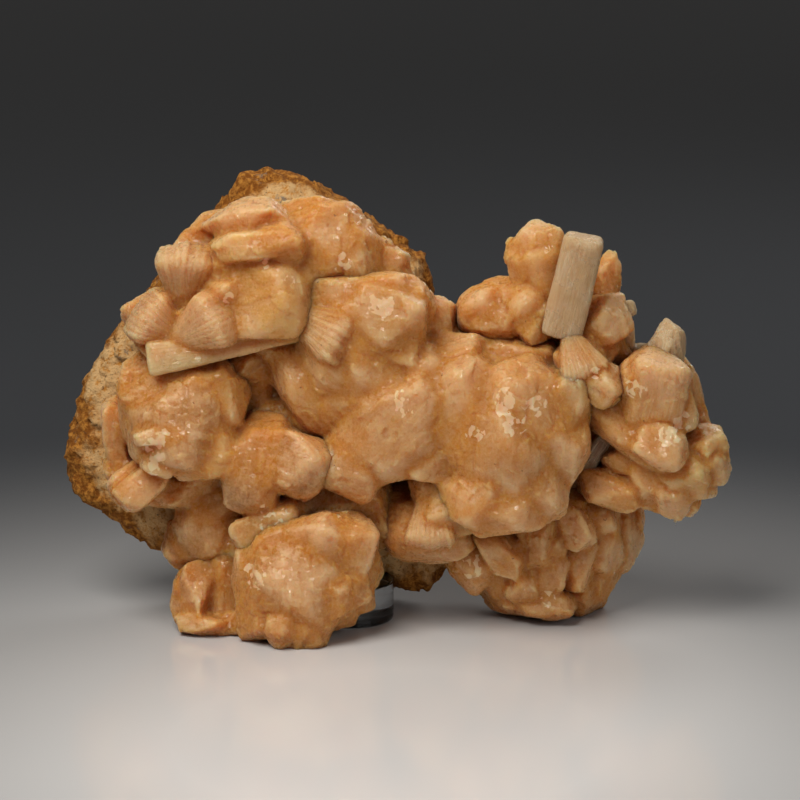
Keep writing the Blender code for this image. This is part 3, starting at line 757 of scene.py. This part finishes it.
# The bow-tie of crystals at the upper left: a honey block, the fibrous half that faces it, the flat
# pearly blade below both and the lips above them. The ball at the top of the plate leans on them.
UPPER_LEFT = [
    Lobe((-32.5, -4, 84), (0.9, -0.4, 0.1), (13.2, 11.8, 10.5), BUTTER, box=0.82, facets=15, ease=0.04,
         grain=4),
    Lobe((-27, 1, 77), (1, 0, 0.1), (7.5, 5.5, 8), ROSE, box=0.85),
    Lobe((-33.5, -6, 98), (1, 0, 0.1), (11.5, 4.4, 8), BUTTER, box=0.8),
    Lobe((-27, -5, 98.5), (0.8, 0, -0.5), (6.5, 5, 8), ROSE),
    Lobe((-35.5, 0, 103), (1, 0, 0.1), (9.5, 5.4, 7.5), ROSE),
    Lobe((-41.5, -2, 91.5), (0.3, 0, 1), (8, 7, 7), HONEY),
    Lobe((-42, -3, 83.5), (1, -0.3, 0.1), (8.5, 7, 8), PEACH),
    Lobe((-45.5, -6, 78), (1, -0.3, 0.1), (8.5, 5.2, 6.5), ROSE),
    Sheaf((-52, -2, 82.5), (-51, -5, 98), 5, 8, fan=27, tilt=9, grain=1.7, uneven=0.06, colour=PALE,
          fibre=1.0, corner=0.4, behind=2),
    Sheaf((-53.5, -3, 74.5), (-63.5, -7, 82.5), 5, 8, fan=31, tilt=9, grain=1.9, uneven=0.05, colour=ROSE,
          fibre=0.8, corner=0.4, behind=2),
    Sheaf((-53, -6, 74.5), (-40.5, -13, 83), 5, 8, fan=24, tilt=8, grain=1.6, uneven=0.03, colour=ROSE,
          fibre=0.7, corner=0.5, behind=2),
    Lobe((-51, 5, 88.5), (0.1, 0, 1), (9, 6.5, 6), ROSE),
    Lobe((-59, 3, 78), (1, 0, 0.1), (8, 6.5, 6), ROSE),
    Sheaf((-21.5, -8, 75), (-61, -12, 70.5), 0.6, 3, behind=0, fan=6.4, grain=20, uneven=0.03, colour=PALE,
          fibre=0.5, corner=1.6, face=(-0.1, -1, 0.3)),
    Lobe((-44.5, -4, 74), (1, 0, 0.1), (12, 4.6, 7), ROSE),
    Lobe((-55.5, -2, 72), (1, 0, 0.1), (8, 5, 7), ROSE),
    Lobe((-44.5, 8, 98), (1, 0, 0.5), (8, 6, 5), PEACH),
    # Set back behind the others: coloured amber as painted shade.
    Lobe((-38.5, 2, 75), (1, 0, 0), (12, 6, 6), AMBER_AND_SHADE),
    Lobe((-16, 1, 97), (0, -1, 0.2), (9.5, 11.4, 11), PEACH, facets=15),
    Lobe((-11, 0, 93.5), (0.3, 0, -1), (9.5, 7.5, 8.5), PEACH),
    Lobe((-19.5, -1, 92), (1, 0, -0.3), (9, 6.8, 8), ROSE),
    Lobe((-21.5, 2, 101), (0.8, 0, 0.6), (8, 6, 7), PEACH),
    Lobe((-1, 4, 90), (0.3, 0, -1), (6.5, 5, 5.5), ROSE),
    Lobe((1.5, 5, 85.5), (0.6, 0, -1), (5, 4.5, 5), PALE),
    Lobe((-4, 2, 87), (1, 0, -0.4), (6, 4.5, 6), PEACH),
    Sheaf((-2, 7, 87.5), (-4, 3, 97.5), 5, 5, fan=7, grain=1.6, uneven=0.05, colour=PALE, fibre=0.9),
]
UPPER_LEFT_GLEAMS = [(-40.5, 86.5, 2.5), (-31.5, 95, 2), (-25, 90.5, 2), (-12.5, 94.5, 3)]
grow("upper_left_sheaves", UPPER_LEFT, 21, 0.5, UPPER_LEFT_GLEAMS, stilbite)


# The heart of the specimen: a broad fan above, whose fibres catch the light near its root, the great
# ball that it grew into, and the prisms deep between and behind them, coloured amber as painted shade.
CENTRE = [
    Lobe((-2.5, -6, 80), (1, -0.1, -0.1), (10.5, 8.6, 9.5), HONEY, box=0.88, facets=15),
    Lobe((-9, -3, 85.5), (1, 0, 0.05), (14.5, 5.2, 8.5), PEACH, box=0.9),
    Lobe((-5, -5, 66.5), (0.6, -0.2, -0.8), (12.5, 10.5, 9.5), PEACH, facets=18),
    Lobe((-12, -4, 59), (0.7, -0.2, -0.6), (9.5, 7.5, 8), ROSE, facets=15),
    Lobe((-21.5, -2, 62), (0.55, -0.1, -0.85), (14.5, 7, 8), HONEY, facets=15),
    Lobe((-26, 0, 70.5), (0.7, 0, -0.6), (9, 6, 7), PEACH),
    Lobe((2, -5, 71), (0.2, 0, -1), (9, 6, 8), HONEY),
    Lobe((2.5, -2, 83.5), (1, 0, 0), (7, 5.5, 7), PEACH),
    Sheaf((-25, -5, 81), (-10.5, -12.5, 74.5), 5, 6, fan=21, tilt=10, grain=1.9, uneven=0.06, colour=PALE,
          fibre=1.0, behind=2, corner=0.5),
    Lobe((-7, -5, 75.5), (0.8, 0, -0.5), (12, 10, 9.5), PEACH, facets=15),
    Lobe((-15, -5, 68.5), (0.7, 0, -0.7), (10, 8, 8.5), PEACH, facets=15),
    Lobe((10.5, 3, 76.5), (0.15, 0, 1), (6.5, 4.6, 6), ROSE),
    Lobe((8, 5, 73), (1, 0, 0.3), (7, 7, 6), PEACH),
    Lobe((12.5, 5, 70.5), (1, 0, 0.3), (7, 6, 6), AMBER_AND_SHADE),
    Lobe((-16, 5, 51), (1, 0, -0.3), (10, 7, 6), AMBER_AND_SHADE),
    Lobe((-35, 4, 58.5), (0.05, 0, 1), (10, 4.4, 5), AMBER_AND_SHADE, box=0.8),
    Lobe((-31, 8, 58.5), (0.05, 0, 1), (11, 6, 6), AMBER_AND_SHADE),
    Lobe((-37, -1, 66.5), (1, 0, 0.3), (4.4, 3.8, 4), ROSE),
    Lobe((-33, 2, 65), (0.2, 0, 1), (5.5, 3.6, 4), PEACH),
    Lobe((-26, 8, 55), (0.5, 0, -1), (10, 7, 6), AMBER_AND_SHADE),
    Lobe((-20, 2, 52), (0.8, 0, -0.6), (8, 7, 6), AMBER_AND_SHADE),
    Lobe((-23.5, 1, 49), (1, 0, 0), (12, 9, 6), AMBER_AND_SHADE),
    Lobe((1, -8, 53), (0.7, -0.1, 0.7), (15.5, 11.5, 10), PEACH, facets=18, box=0.92),
    Lobe((-11, -8, 41.5), (0.8, -0.2, -0.35), (8.5, 7, 7.5), ROSE, box=0.9),
    Lobe((7.5, -5, 63), (0.5, 0, 0.8), (10, 8.5, 9), PEACH),
    Lobe((9.5, -7, 46.5), (0.9, 0, -0.3), (9.5, 8, 8.5), PEACH),
    Lobe((16.5, -9, 58), (0.03, -0.1, 1), (14.5, 8, 9.5), PEACH, facets=16, ease=0.08, grain=2.8),
    Lobe((31.5, -10, 58), (0.1, -0.1, 1), (12.8, 13, 10), PEACH, facets=16, ease=0.08, grain=2.8),
    Lobe((27.5, -12, 47), (0.05, -0.1, 1), (15, 12.5, 10), PEACH, facets=16, ease=0.08, grain=2.8),
    Lobe((42.5, -8, 59), (0.25, 0, 1), (10.5, 6.8, 9), HONEY, facets=16),
    Lobe((41, -10, 48.5), (0.1, 0, 1), (8.5, 7.6, 8.5), PEACH, facets=16),
    Lobe((35.5, -11, 38.5), (0.5, -0.2, -0.8), (9.5, 7.6, 8.5), PEACH, facets=16),
    Lobe((27.5, -13, 33), (1, -0.1, 0), (10.5, 6.4, 8), PEACH, facets=16),
    Lobe((20, -11, 36), (0.8, -0.1, -0.5), (9, 8, 9), PEACH, facets=16),
    Lobe((24, -8, 49.5), (0, 0, 1), (18, 14, 10), PEACH, facets=16),
    Lobe((30, 1, 68.5), (1, 0, 0), (15, 5.5, 8), AMBER_AND_SHADE),
    Lobe((15, -3, 67), (1, 0, 0.3), (10, 7, 8), PEACH),
    Lobe((45.5, 4, 38.5), (0, 0, 1), (12, 7, 6), AMBER_AND_SHADE),
    Lobe((27, 4, 30.5), (1, 0, 0), (20, 10, 8), AMBER_AND_SHADE),
]
CENTRE_GLEAMS = [(-5.5, 86, 3), (-2, 84.5, 3), (19.5, 54, 3), (30, 57, 5),
                 (27.5, 63, 3.5), (35.5, 61, 3), (2.5, 59, 2.5), (1.5, 63, 2)]
grow("centre_mass", CENTRE, 22, 0.8, CENTRE_GLEAMS, stilbite)


# The ball on the left, with pale cleavage ledges on its front, painted paler still as highlights, and
# pinkish plates along its side, and the prisms packed under it, one of them with a glossy flat top painted
# bright as a highlight. The crystals set behind them are coloured amber as painted shade.
LEFT = [
    Lobe((-53, -3, 53.5), (0, -1, 0.15), (14.5, 15, 13.8), TAN, facets=15),
    Lobe((-52, -2, 61), (1, 0, 0.05), (15.2, 8, 11), TAN, facets=15),
    Lobe((-42, -3, 59), (0.1, 0, -1), (9, 5.5, 9), HONEY),
    Lobe((-47, -8, 46.5), (1, 0, 0.1), (9, 8, 7.5), HONEY, facets=15, box=0.85),
    Lobe((-62, -1, 57.5), (0, 0, -1), (12, 6.8, 9), ROSE),
    Lobe((-62.5, -7, 37), (-0.8, -0.3, -0.6), (7, 4.8, 5.5), PALE, box=0.8),
    Lobe((-58, -15, 52), (1, 0, 0.1), (6.5, 2.4, 4), PALE, box=0.75),
    Lobe((-58.5, -13, 44), (1, 0, -0.5), (4.5, 2.8, 4), PALE, box=0.75),
    Lobe((-70, 5, 46), (0.1, 0, -1), (10, 3.5, 8), ROSE, box=0.8),
    Lobe((-68.5, 4, 37), (0.6, 0, -1), (7, 4, 6), ROSE),
    Lobe((-51.5, 1, 34.5), (1, 0, 0.15), (11, 5, 7), ROSE),
    Lobe((-58, 4, 32.5), (1, 0, 0.1), (7, 4, 5), ROSE),
    Sheaf((-61.5, 0, 39.5), (-68.5, -9, 34), 8, 8, fan=11, grain=2.4, uneven=0.05, colour=PALE, fibre=0.6),
    # The next two are darker, as painted shade.
    Lobe((-35, -7, 41.5), (-0.2, -0.3, -1), (11, 8, 8.5), SHADED_TAN, box=0.88, facets=15),
    Lobe((-25, -8, 43.5), (0.8, -0.4, -0.2), (10.5, 8.6, 9), SHADED_TAN, box=0.88, facets=15),
    Lobe((-31.5, -4, 46.5), (1, 0, 0.2), (8.5, 8, 8), TAN),
    Lobe((-17.5, -1, 40), (0.6, 0, -0.6), (7, 6, 6), AMBER_AND_SHADE),
    Lobe((-24, 3, 30), (1, 0, 0), (10, 7, 6), AMBER_AND_SHADE),
    Lobe((-31.5, -10, 27), (1, -0.15, 0.35), (9.2, 5, 5.5), TAN, box=0.78),
    Lobe((-26.5, -8, 30.5), (1, 0, 0.6), (5, 3.8, 4.5), HONEY),
    # These three under the ball are darker, as painted shade.
    Lobe((-47, 1, 24.5), (0, -0.3, -1), (9.4, 8.4, 7.8), SHADED_TAN, facets=18),
    Lobe((-51.5, 3, 17.5), (0.6, 0, -0.6), (8, 6, 6), SHADED_TAN),
    Lobe((-43.5, 0, 31), (1, 0, 0.2), (8, 6, 6), SHADED_TAN),
    Lobe((-40, -1, 20), (0.3, 0, -1), (8, 6, 6), AMBER_AND_SHADE),
    Lobe((-11, -2, 32), (1, 0, -0.3), (12, 9, 7), AMBER_AND_SHADE),
    Lobe((-6, -1, 26.5), (0.5, 0, -1), (8.5, 7, 6), TAN),
    Lobe((-17.5, 0, 26), (1, 0, 0), (14, 9, 7), AMBER_AND_SHADE),
]
LEFT_GLEAMS = [(-57.5, 52.5, 5), (-58, 45, 4), (-30.5, 30.5, 5)]
grow("left_mass", LEFT, 23, 0.5, LEFT_GLEAMS, stilbite)


# The ball low on the left, plated like scales at its lower right, the spike that it stands on and
# the two crystals at its side.
LOWER_LEFT = [
    Lobe((-24, -13, 15), (0.1, -1, 0.1), (13, 13.6, 14.5), TAN, facets=15),
    Lobe((-23.5, -12, 22.5), (1, -0.25, 0.42), (14, 8, 9.5), TAN, box=0.86, facets=15),
    Lobe((-12, -11, 21), (0.3, -0.2, 1), (10.5, 7.6, 9), TAN, box=0.88, facets=15),
    Lobe((-8.5, -9, 16), (1, -0.2, -0.3), (5.6, 6.2, 7), TAN),
    Lobe((-10.5, -11, 10), (0.9, -0.2, -0.5), (5.6, 5, 6), TAN),
    Lobe((-15, -14, 9), (0.6, -0.3, -0.8), (7, 5.6, 6.5), TAN),
    Lobe((-12, -15, 14), (0.7, -0.6, -0.4), (6.5, 5.8, 5), TAN),
    Lobe((-17, -18, 13), (0.7, -0.5, -0.5), (7, 6.4, 5), TAN),
    Lobe((-23, -17, 7), (0.2, -0.4, -1), (8.5, 7.8, 6.5), TAN),
    Lobe((-28, -22, 3.5), (-0.1, -0.2, -1), (6.8, 4.4, 5), TAN, point=1),
    Lobe((-21, -19, 3.5), (0.3, -0.2, -1), (6.5, 5.2, 5.5), TAN),
    Lobe((-33, -15, 8), (-0.3, -0.2, -1), (8.5, 6.4, 7), TAN),
    Lobe((-34.5, -12, 14.5), (0, -0.3, -1), (9.5, 6, 8), TAN),
    # These two are darker, as painted shade.
    Lobe((-50, -6, 8), (-0.1, -0.2, -1), (9, 5, 6.5), SHADED_TAN, facets=10),
    Lobe((-52, -4, 9.5), (0, 0, -1), (6, 3.6, 6), SHADED_TAN),
    Sheaf((-42, -4, 17), (-41.5, -8, 0), 7.5, 7, fan=3, grain=1.8, uneven=0.06, colour=TAN, fibre=1.0,
          corner=0.3),
    Lobe((-42, -3, 12.5), (0, 0, 1), (9, 4.6, 5.5), TAN),
    Lobe((-47, -10, 2), (1, -0.1, -0.1), (8, 3.2, 5.5), PEACH),
    # Low and set back: coloured amber as painted shade.
    Lobe((-38, -8, 2), (1, 0, -0.1), (7, 4, 6), AMBER_AND_SHADE),
    Lobe((-39, 0, 8), (0, 0, 1), (10, 6, 6), AMBER_AND_SHADE),
]
LOWER_LEFT_GLEAMS = [(-34.5, 18, 4), (-12, 33.5, 3)]
grow("lower_left_ball", LOWER_LEFT, 24, 0.42, LOWER_LEFT_GLEAMS, stilbite)


# The spray at the top right: a yellow fan, a tuft of gilt fibres below it, round lobes on the left and
# pale ones on the right. The clear prisms that cross it are made further down, with their own finish.
TOP_RIGHT = [
    Lobe((36, 0, 95), (-0.15, 0, 1), (7.6, 7, 5), BUTTER, facets=14, ease=0.1),
    Lobe((33.5, 1, 91), (-0.5, 0, 1), (8, 5.5, 4.5), BUTTER, ease=0.1),
    Lobe((37.5, 1, 86.5), (-0.2, 0, 1), (8, 5.5, 5), BUTTER),
    Sheaf((39.5, 0, 78.5), (36, -1, 97.5), 4, 7, fan=12, tilt=6, grain=2.2, uneven=0.05, colour=BUTTER,
          fibre=0.8, corner=0.5, fade=True),
    Sheaf((43, -6, 76), (48, -12, 64.5), 4, 6, fan=25, tilt=8, grain=1.3, uneven=0.08, colour=PALE,
          fibre=1.0, behind=1),
    Lobe((51, -9, 64), (0.5, -0.3, -0.8), (6.5, 5.2, 6), HONEY),
    Lobe((46, -6, 68), (0.5, -0.3, -0.8), (7, 6, 6), PEACH),
    Lobe((22.5, 2, 80.5), (0.7, 0, 0.6), (7.6, 6.8, 6.5), HONEY, ease=0.12),
    Lobe((32, 0, 81.5), (0.3, -0.2, 1), (7, 6.5, 7), HONEY, ease=0.12),
    Lobe((27, 3, 82), (1, 0, 0.2), (8, 6, 6.5), PEACH),
    Lobe((25.5, 1, 77), (0.8, 0, -0.3), (7, 5, 6.5), ROSE),
    Lobe((35, 0, 78), (0.8, 0, 0.3), (7, 6, 7), HONEY),
    Lobe((52, 7, 82.5), (0.1, 0, 1), (10.5, 4.2, 5), PEACH),
    Lobe((54, 8, 85), (0, 0, 1), (5, 2.5, 4), PEACH),
    Lobe((52, -2, 78.5), (0.5, -0.2, 0.5), (6.5, 6, 6.5), PALE),
    Lobe((49, 0, 73), (1, 0, 0), (8, 6, 7), PEACH),
    Lobe((55.5, 3, 69.5), (0.5, 0, -0.5), (5, 4.5, 5), PALE),
    Lobe((54.5, 5, 63.5), (0, 0, 1), (7, 5, 5.5), PEACH),
    # Behind the spray: coloured amber as painted shade.
    Lobe((44.5, 5, 69.5), (1, 0, 0), (12, 8, 6.5), AMBER_AND_SHADE),
    Lobe((34, 5, 71.5), (1, 0, 0), (11, 6, 6), AMBER_AND_SHADE),
    Lobe((51.5, 4, 58), (0.8, 0, -0.8), (10, 7, 6.5), AMBER_AND_SHADE),
]
TOP_RIGHT_GLEAMS = [(49.5, 68, 2)]
grow("top_right_spray", TOP_RIGHT, 25, 0.38, TOP_RIGHT_GLEAMS, stilbite)


# The spray at the right: a whitish striated block, the pale prism under it and rounded petals round a
# core that joins them to the mass beside it, coloured amber as painted shade.
RIGHT = [
    Lobe((65, -8, 62.5), (0.2, -0.2, 1), (9.4, 9, 8.5), CLEAR, box=0.78, fibre=0.7),
    Lobe((60.5, -7, 63.5), (0, -0.2, 1), (7, 5.5, 7), CLEAR, box=0.82, fibre=0.5),
    Lobe((70, -7, 57), (0.3, 0, -1), (6, 5.5, 6.5), CLEAR, box=0.8, fibre=0.7),
    Lobe((62, 4, 68.5), (0.8, 0, 0.5), (2.8, 2.2, 2.6), PALE),
    Lobe((64.5, 0, 68.5), (1, 0, 0), (5, 3.4, 5), PALE),
    Lobe((74, 5, 57.5), (-0.2, 0, 1), (9.5, 3.4, 5.5), PALE),
    Lobe((75.5, 3, 52), (-0.5, 0, 1), (6, 3.4, 5), PALE),
    Lobe((59, -6, 52.5), (0.8, -0.2, -0.6), (15, 7, 7), PEACH, box=0.88, facets=15),
    Lobe((66, -12, 49), (0.8, -0.2, -0.5), (7, 5.8, 5.5), PEACH, box=0.86),
    Lobe((77, -4, 46.5), (0.6, 0, 0.6), (6.2, 5.8, 6.5), BUTTER),
    Lobe((78, -5, 42.5), (0.9, 0, -0.3), (5.6, 5.2, 6), PALE),
    Lobe((72.5, -6, 41), (0.8, -0.2, -0.6), (8, 7.4, 7), BUTTER),
    Lobe((69.5, -6, 35.5), (0.4, -0.2, -1), (6.5, 6.2, 6.2), PALE),
    Lobe((64.5, -4, 38), (0.6, 0, -0.8), (8, 6.5, 6.5), PALE),
    Lobe((74, -2, 32), (0.3, 0, -1), (4, 3, 4), HONEY),
    Lobe((59.5, -4, 42.5), (1, -0.2, -0.05), (7.5, 3.2, 4.2), HONEY, box=0.9),
    Lobe((54.5, -5, 35.5), (1, -0.2, -0.3), (8.2, 4.6, 5.2), HONEY),
    Lobe((51.5, -2, 36.5), (1, 0, -0.2), (6, 4, 5), PEACH),
    Lobe((64, 6, 45.5), (1, 0, 0), (13, 11, 8), AMBER_AND_SHADE),
    Lobe((62, 4, 52.5), (0.5, 0, -0.5), (10, 7, 7), AMBER_AND_SHADE),
    Lobe((57, 4, 46), (0.5, 0, -0.8), (9, 7, 6), AMBER_AND_SHADE),
    Lobe((57, 5, 38), (1, 0, 0), (9, 6, 6), AMBER_AND_SHADE),
]
RIGHT_GLEAMS = [(59, 63.5, 4), (70.5, 55.5, 4), (66, 51.5, 3)]
grow("right_spray", RIGHT, 26, 0.38, RIGHT_GLEAMS, stilbite)


# The mass at the lower right, petals and prisms about a darker core, painted amber as shade. It stands
# on its lowest ones.
LOWER_RIGHT = [
    Lobe((20.5, -2, 14.5), (0, -0.2, -1), (8.6, 6.6, 7), ROSE, point=0.6),
    Lobe((17.5, 0, 16.5), (0.3, 0, -1), (6, 5, 6), ROSE),
    Lobe((26.5, -6, 20.5), (0.6, -0.2, -0.75), (8.4, 4.6, 5.8), TAN),
    Lobe((36, -4, 23.5), (0, -0.2, -1), (8.6, 5.4, 6.2), TAN),
    Lobe((40, -5, 21), (1, 0, 0), (3.4, 3, 3.6), TAN),
    Lobe((45.5, -4, 26), (0.6, -0.1, -0.8), (7, 4.4, 5), ROSE),
    Lobe((46, 1, 15.5), (-0.1, 0, -1), (8, 5, 6), ROSE),
    Lobe((39.5, -3, 14), (0.2, -0.1, 1), (5.6, 4.8, 5.4), ROSE, box=0.85),
    Lobe((32, -3, 11.5), (0, -0.1, 1), (6.2, 5, 5.8), ROSE),
    Lobe((27.5, 0, 12.5), (0, 0, 1), (6.4, 5.6, 6), TAN),
    Lobe((38, -2, 5), (1, -0.1, -0.12), (8, 4.3, 6), TAN, box=0.84),
    Lobe((32, 1, 5.5), (1, 0, -0.2), (8, 4.6, 6), TAN),
    Lobe((28.5, 5, 4.5), (1, 0, -0.3), (7, 4, 5), AMBER_AND_SHADE),
    Lobe((48, 5, 6), (0.7, 0, 0.6), (6.5, 5.6, 6), ROSE),
    Lobe((55.5, 11, 20), (0, 0.1, -1), (11, 7, 7.5), ROSE, facets=15),
    Lobe((50.5, 8, 10), (-0.3, 0, -1), (9, 6.8, 7), ROSE),
    Lobe((52, 4, 18), (-0.2, 0, -1), (8.5, 6, 6.5), ROSE),
    Lobe((59, 12, 24), (-0.3, 0, 1), (6, 5, 6), ROSE),
    Lobe((51, 3, 28), (0.2, 0, -1), (8.5, 6.5, 6.5), AMBER_AND_SHADE),
    Lobe((38.5, 9, 13), (1, 0, 0), (16, 14, 9), AMBER_AND_SHADE),
    Lobe((42, 2, 29), (1, 0, 0), (10, 7, 7), AMBER_AND_SHADE),
    Lobe((27, 6, 16.5), (1, 0, 0), (10, 10, 7), AMBER_AND_SHADE),
    Lobe((50.5, 10, 1.5), (1, 0, 0.6), (5, 3, 4), ROSE),
]
LOWER_RIGHT_GLEAMS = [(19.5, 16, 4), (38.5, 7.5, 3)]
grow("lower_right_mass", LOWER_RIGHT, 27, 0.32, LOWER_RIGHT_GLEAMS, stilbite)


# The clear crystals of the two sprays at the right: the long flat prism, the small ones on its right,
# the knob at the top of the lower spray, the lavender blade and the spike. They root in the sprays, let
# some light through and are frosted and veined along their fibres.
VEIL = (0.94, 0.72, 0.46)
STRAW = (0.80, 0.50, 0.22)
frosted = Finish("clear_stilbite", IOR=1.5, Transmission_Weight=0.22, Subsurface_Weight=0.9,
                 Subsurface_Scale=0.003, Subsurface_Radius=(1.0, 0.9, 0.8))
where = frosted.place()
veils = frosted.noise(frosted.attribute("ray", "Vector"), 2.4, detail=4.0, roughness=0.65)
haze = frosted.noise(where, 160.0, detail=3.0)
body = frosted.mix(veils.between(0.4, 0.65), frosted.attribute("tone_and_shade", "Vector"), VEIL)
frosted.feed("Base Color", frosted.mix(haze.between(0.4, 0.65) * 0.5, body, STRAW))
frosted.feed("Roughness", 0.22 + 0.3 * haze.between(0.4, 0.7))
frosted.bump(veils * 0.9 + frosted.noise(where, 1400.0) * 0.15, 0.0008)
CLEAR_ONES = [
    Sheaf((41.5, -6, 76.5), (47, -12, 103.5), 10.4, 7, grain=20, colour=CLEAR, fibre=0.6, corner=0.12,
          behind=1),
    Lobe((56, 1, 80), (1, 0, 0.25), (4.4, 2.6, 2.6), CLEAR, box=0.72),
    Lobe((53.5, 0, 77.5), (0.9, 0, 0.5), (4.4, 3, 3), CLEAR, box=0.72),
    Lobe((58, 2, 73.5), (0, 0, 1), (4, 2.3, 2.4), CLEAR, box=0.75),
    Lobe((68, -2, 71.5), (0.05, 0, 1), (6.5, 4.2, 4.4), CLEAR),
    Lobe((61.5, 2, 69), (0.8, 0, 0.5), (3.4, 2.4, 2.8), CLEAR),
    Sheaf((47.5, -1, 39.5), (53.5, -1, 49), 4.6, 4.4, grain=20, corner=0.3, colour=LAVENDER, behind=1),
    Lobe((71, -2, 29.5), (-0.05, 0, -1), (5.2, 1.9, 2), CLEAR, point=1),
]
CLEAR_ONES_GLEAMS = [(46.5, 93, 3)]
grow("clear_prisms", CLEAR_ONES, 28, 0.25, CLEAR_ONES_GLEAMS, frosted)


# The pale fan that hangs below the great ball, bright along its fibres, with the lobes at its sides
# and the ones behind it that join it to the mass above, coloured amber as painted shade.
HANGING = [
    Lobe((8.5, -5, 25.5), (1, -0.1, -0.05), (11.2, 8, 8.5), ROSE, facets=15),
    Sheaf((9, -8, 35), (9, -15, 23), 5, 6, fan=20, tilt=7, grain=1.4, uneven=0.05, colour=PALE, fibre=1.0),
    Lobe((2, -1, 22.5), (0.8, 0, -0.7), (7, 5.5, 7), ROSE),
    Lobe((15, -2, 23), (0.8, 0, 0.5), (6, 5.5, 6.5), ROSE),
    Lobe((1.5, 2, 28.5), (1, 0, 0), (10, 6, 7), AMBER_AND_SHADE),
    Lobe((13.5, -5, 38.5), (0.8, 0, -0.5), (10, 8, 8), AMBER_AND_SHADE),
    Lobe((15, -8, 32.5), (0.8, 0, -0.5), (9, 6.5, 8), HONEY),
]
HANGING_GLEAMS = [(15, 36, 2)]
grow("hanging_fan", HANGING, 29, 0.6, HANGING_GLEAMS, stilbite)


# The stage: a pale table that mirrors the specimen softly, and studio lights close to it. Its colour is
# painted from pale near the specimen to dark far off, a painted pool of light, so that the table fades
# into the dark behind. It is a flat disc of rings, closer together near its middle.
TABLE_RADIUS = 4000
TABLE_RINGS, TABLE_COLUMNS = 24, 96
TABLE_PAINTED_LIGHT = (0.78, 0.775, 0.765)
TABLE_PAINTED_DARK = (0.055, 0.059, 0.066)
spread = TABLE_RADIUS * np.linspace(0, 1, TABLE_RINGS + 1)[1:] ** 2
table_rings = turned_grid([(radius, 0) for radius in spread], TABLE_COLUMNS, np.zeros(3))
table_quads, table_triangles = closed_faces(TABLE_RINGS, TABLE_COLUMNS)
table = make_object("table", np.concatenate([np.zeros((1, 3)), table_rings.reshape(-1, 3)]), table_quads,
                    table_triangles[:TABLE_COLUMNS])
lacquer = Finish("pale_table", Roughness=0.14, Specular_IOR_Level=0.75)
ahead = lacquer.node("ShaderNodeVectorMath", {"operation": "ADD"}, {0: lacquer.place(), 1: (0, 0.09, 0)})
away = lacquer.node("ShaderNodeVectorMath", {"operation": "LENGTH"}, {0: ahead}, "Value")
# Painted light: pale near a point a little in front of the specimen, dark far from it.
lacquer.feed("Base Color", lacquer.mix(away.between(0.05, 0.30) ** 0.5, TABLE_PAINTED_LIGHT, TABLE_PAINTED_DARK))
table.data.materials.append(lacquer.material)


def softbox(name, place, size, energy, colour):
    """A square area light that faces the specimen."""
    light = bpy.data.lights.new(name, "AREA")
    light.size = size
    light.energy = energy
    light.color = colour
    lamp = bpy.data.objects.new(name, light)
    lamp.location = place
    lamp.rotation_euler = (Vector((0, 0, 0.05)) - Vector(place)).to_track_quat("-Z", "Y").to_euler()
    bpy.context.scene.collection.objects.link(lamp)


softbox("key", (-0.22, -0.27, 0.54), 0.34, 3.45, (1.0, 0.96, 0.91))
softbox("fill", (0.45, -0.60, 0.34), 0.45, 0.9, (0.98, 0.98, 1.0))
softbox("back", (0.25, 0.42, 0.45), 0.30, 1.2, (1.0, 0.97, 0.94))
world = bpy.data.worlds.new("studio")
bpy.context.scene.world = world
world.use_nodes = True
world.node_tree.nodes["Background"].inputs["Color"].default_value = (0.05, 0.049, 0.048, 1)
